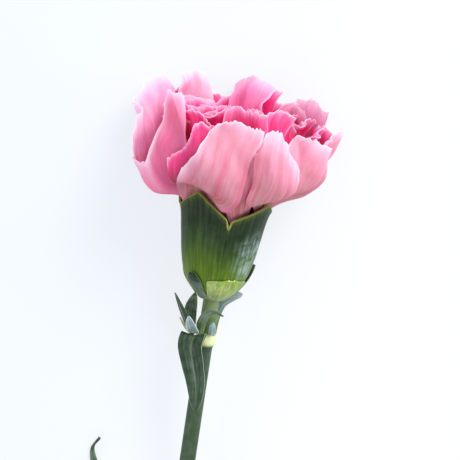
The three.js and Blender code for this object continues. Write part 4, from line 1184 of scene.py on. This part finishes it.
# %% The stem's line and its tree
STEM_RADIUS = 2.35
STEM_LENGTH = 152
STEM_LINE = [(4, 0, -152), (1.2, 0, -122), (0, 0, -96), (0, 0, -48), (0, 0, 0)]
HEAD = [(2.5, 0.2), (4.0, 1.6), (5.5, 3.0), (5.9, 3.9), (5.6, 4.6), (4.4, 5.4), (2.8, 6.0), (1.0, 6.3)]
JOINTS = [-87, -12.5]
LINE_POINTS, HEAD_POINTS = 420, 40
STEM_SIDES = 48
JOINT_HALF = 3.2
CUT_SLANT = 0.55


def stem_points():
    share = np.linspace(0, 1, LINE_POINTS)
    line = curve(STEM_LINE, share, open_ends=True)
    z = line[:, 2]
    girth = np.full_like(z, STEM_RADIUS)
    for joint in JOINTS:
        away = np.abs(z - joint)
        girth += (LEAF_JOINT_RADIUS - STEM_RADIUS) * (1 - smooth(0, JOINT_HALF, away))
    head = np.array(HEAD)
    head_z = np.linspace(HEAD[0][1], HEAD_TOP, HEAD_POINTS)
    head_line = np.stack([0 * head_z, 0 * head_z, head_z], axis=1)
    line = np.concatenate([line[:-1], head_line])
    girth = np.concatenate([girth[:-1], np.interp(head_z, head[:, 1], head[:, 0])])
    return line, girth


def stem_tree():
    tree = bpy.data.node_groups.new("jointed_stem", "GeometryNodeTree")
    tree.interface.new_socket("Line", in_out="INPUT", socket_type="NodeSocketGeometry")
    sides = tree.interface.new_socket("Sides", in_out="INPUT", socket_type="NodeSocketInt")
    sides.default_value = STEM_SIDES
    slant = tree.interface.new_socket("Cut Slant", in_out="INPUT", socket_type="NodeSocketFloat")
    slant.default_value = 0.5
    tree.interface.new_socket("Finish", in_out="INPUT", socket_type="NodeSocketMaterial")
    tree.interface.new_socket("Stem", in_out="OUTPUT", socket_type="NodeSocketGeometry")
    given = put(tree, "NodeGroupInput").outputs
    line = put(tree, "GeometryNodeMeshToCurve", {"Mesh": given["Line"]}).outputs[0]
    ring = put(tree, "GeometryNodeCurvePrimitiveCircle", {"Resolution": given["Sides"], "Radius": 1.0})
    swept = put(tree, "GeometryNodeCurveToMesh", {
        "Curve": line, "Profile Curve": ring.outputs[0], "Scale": named(tree, "girth"), "Fill Caps": True,
    })
    neighbours = put(tree, "GeometryNodeInputMeshFaceNeighbors").outputs["Vertex Count"]
    is_cap = put(tree, "FunctionNodeCompare", {2: neighbours, 3: 4}, data_type="INT", operation="GREATER_THAN")
    is_cap = is_cap.outputs[0]
    stored = put(tree, "GeometryNodeStoreNamedAttribute",
                 {"Geometry": swept.outputs[0], "Name": "cut_face", "Value": is_cap},
                 data_type="FLOAT", domain="FACE").outputs[0]
    place = put(tree, "GeometryNodeInputPosition").outputs[0]
    height = put(tree, "ShaderNodeSeparateXYZ", {0: place}).outputs["Z"]
    middle = named(tree, "middle_height")
    near_cut = ramp_between(tree, named(tree, "along"), 0.0, 0.012, 1.0, 0.0)
    shift = calc(tree, "MULTIPLY", calc(tree, "SUBTRACT", height, middle), given["Cut Slant"])
    shift = calc(tree, "MULTIPLY", shift, near_cut)
    offset = put(tree, "ShaderNodeCombineXYZ", {"Y": shift}).outputs[0]
    cut = put(tree, "GeometryNodeSetPosition", {"Geometry": stored, "Offset": offset}).outputs[0]
    whole = put(tree, "GeometryNodeRealizeInstances", {"Geometry": cut}).outputs[0]
    finished = put(tree, "GeometryNodeSetMaterial", {"Geometry": whole, "Material": given["Finish"]}).outputs[0]
    put(tree, "NodeGroupOutput", {0: finished})
    return tree


jointed_stem = stem_tree()
print("nodes in the stem's tree:", len(jointed_stem.nodes))

# %% The stem's finish and the stem
JOINT_PALE = srgb(200, 208, 154)


def stem_material():
    material = blank_material("stem_skin")
    tree = material.node_tree
    tree.nodes.clear()
    along, across = attribute(tree, "along"), attribute(tree, "around")
    stretched = calc(tree, "MULTIPLY", along, 6.0)
    veins = use_group(tree, "veins", across=across, along=stretched, count=3.0, seed=4.0)
    skin = colour_ramp(tree, along, [(0.0, srgb(52, 72, 38)), (0.5, srgb(40, 58, 34)), (0.9, srgb(42, 60, 36)),
                                     (0.96, srgb(78, 98, 52)), (1.0, srgb(128, 144, 92))])
    skin = mixed(tree, calc(tree, "MULTIPLY", veins["Streaks"], 0.35), skin, srgb(70, 94, 54))
    joint = attribute(tree, "joint")
    skin = mixed(tree, ramp_between(tree, joint, 0.2, 0.8), skin, JOINT_PALE)
    waxed = use_group(tree, "wax", skin=skin, wax=WAX, amount=0.06, size=3 * MM, seed=9.0)
    colour = mixed(tree, attribute(tree, "cut_face"), waxed["Colour"], srgb(190, 205, 150))
    normal = bumped(tree, veins["Height"], 0.4, 0.2 * MM)
    body = put(tree, "ShaderNodeBsdfPrincipled", {
        "Base Color": colour, "Roughness": waxed["Roughness"], "Normal": normal, "Specular IOR Level": 0.16,
    })
    put(tree, "ShaderNodeOutputMaterial", {"Surface": body.outputs[0]})
    return material


line, girth = stem_points()
line_points = laid_down(line)
mesh = bpy.data.meshes.new("stem_line")
mesh.from_pydata(line_points.tolist(), [(n, n + 1) for n in range(len(line) - 1)], [])
joint_share = np.zeros(len(line))
for joint in JOINTS:
    joint_share = np.maximum(joint_share, 1 - smooth(0, JOINT_HALF, np.abs(line[:, 2] - joint)))
stem_values = {"girth": girth * MM, "along": np.clip((line[:, 2] + STEM_LENGTH) / STEM_LENGTH, 0, 1),
               "middle_height": line_points[:, 2], "joint": joint_share}
for key, values in stem_values.items():
    mesh.attributes.new(key, "FLOAT", "POINT").data.foreach_set("value", values.astype(np.float32))
piece = grown("fine_stem", mesh, jointed_stem, sides=STEM_SIDES, cut_slant=CUT_SLANT, finish=stem_material())
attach(piece, "root")
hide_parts("stem")
print("stem:", triangles(piece), "triangles")

# %% Smooth shading with sharp rims
RIM_ANGLE = math.radians(55)
for thing in scene.objects:
    if thing.type == "MESH" and thing.name.startswith("fine_"):
        thing.data.shade_smooth()
        thing.data.set_sharp_from_angle(angle=RIM_ANGLE)
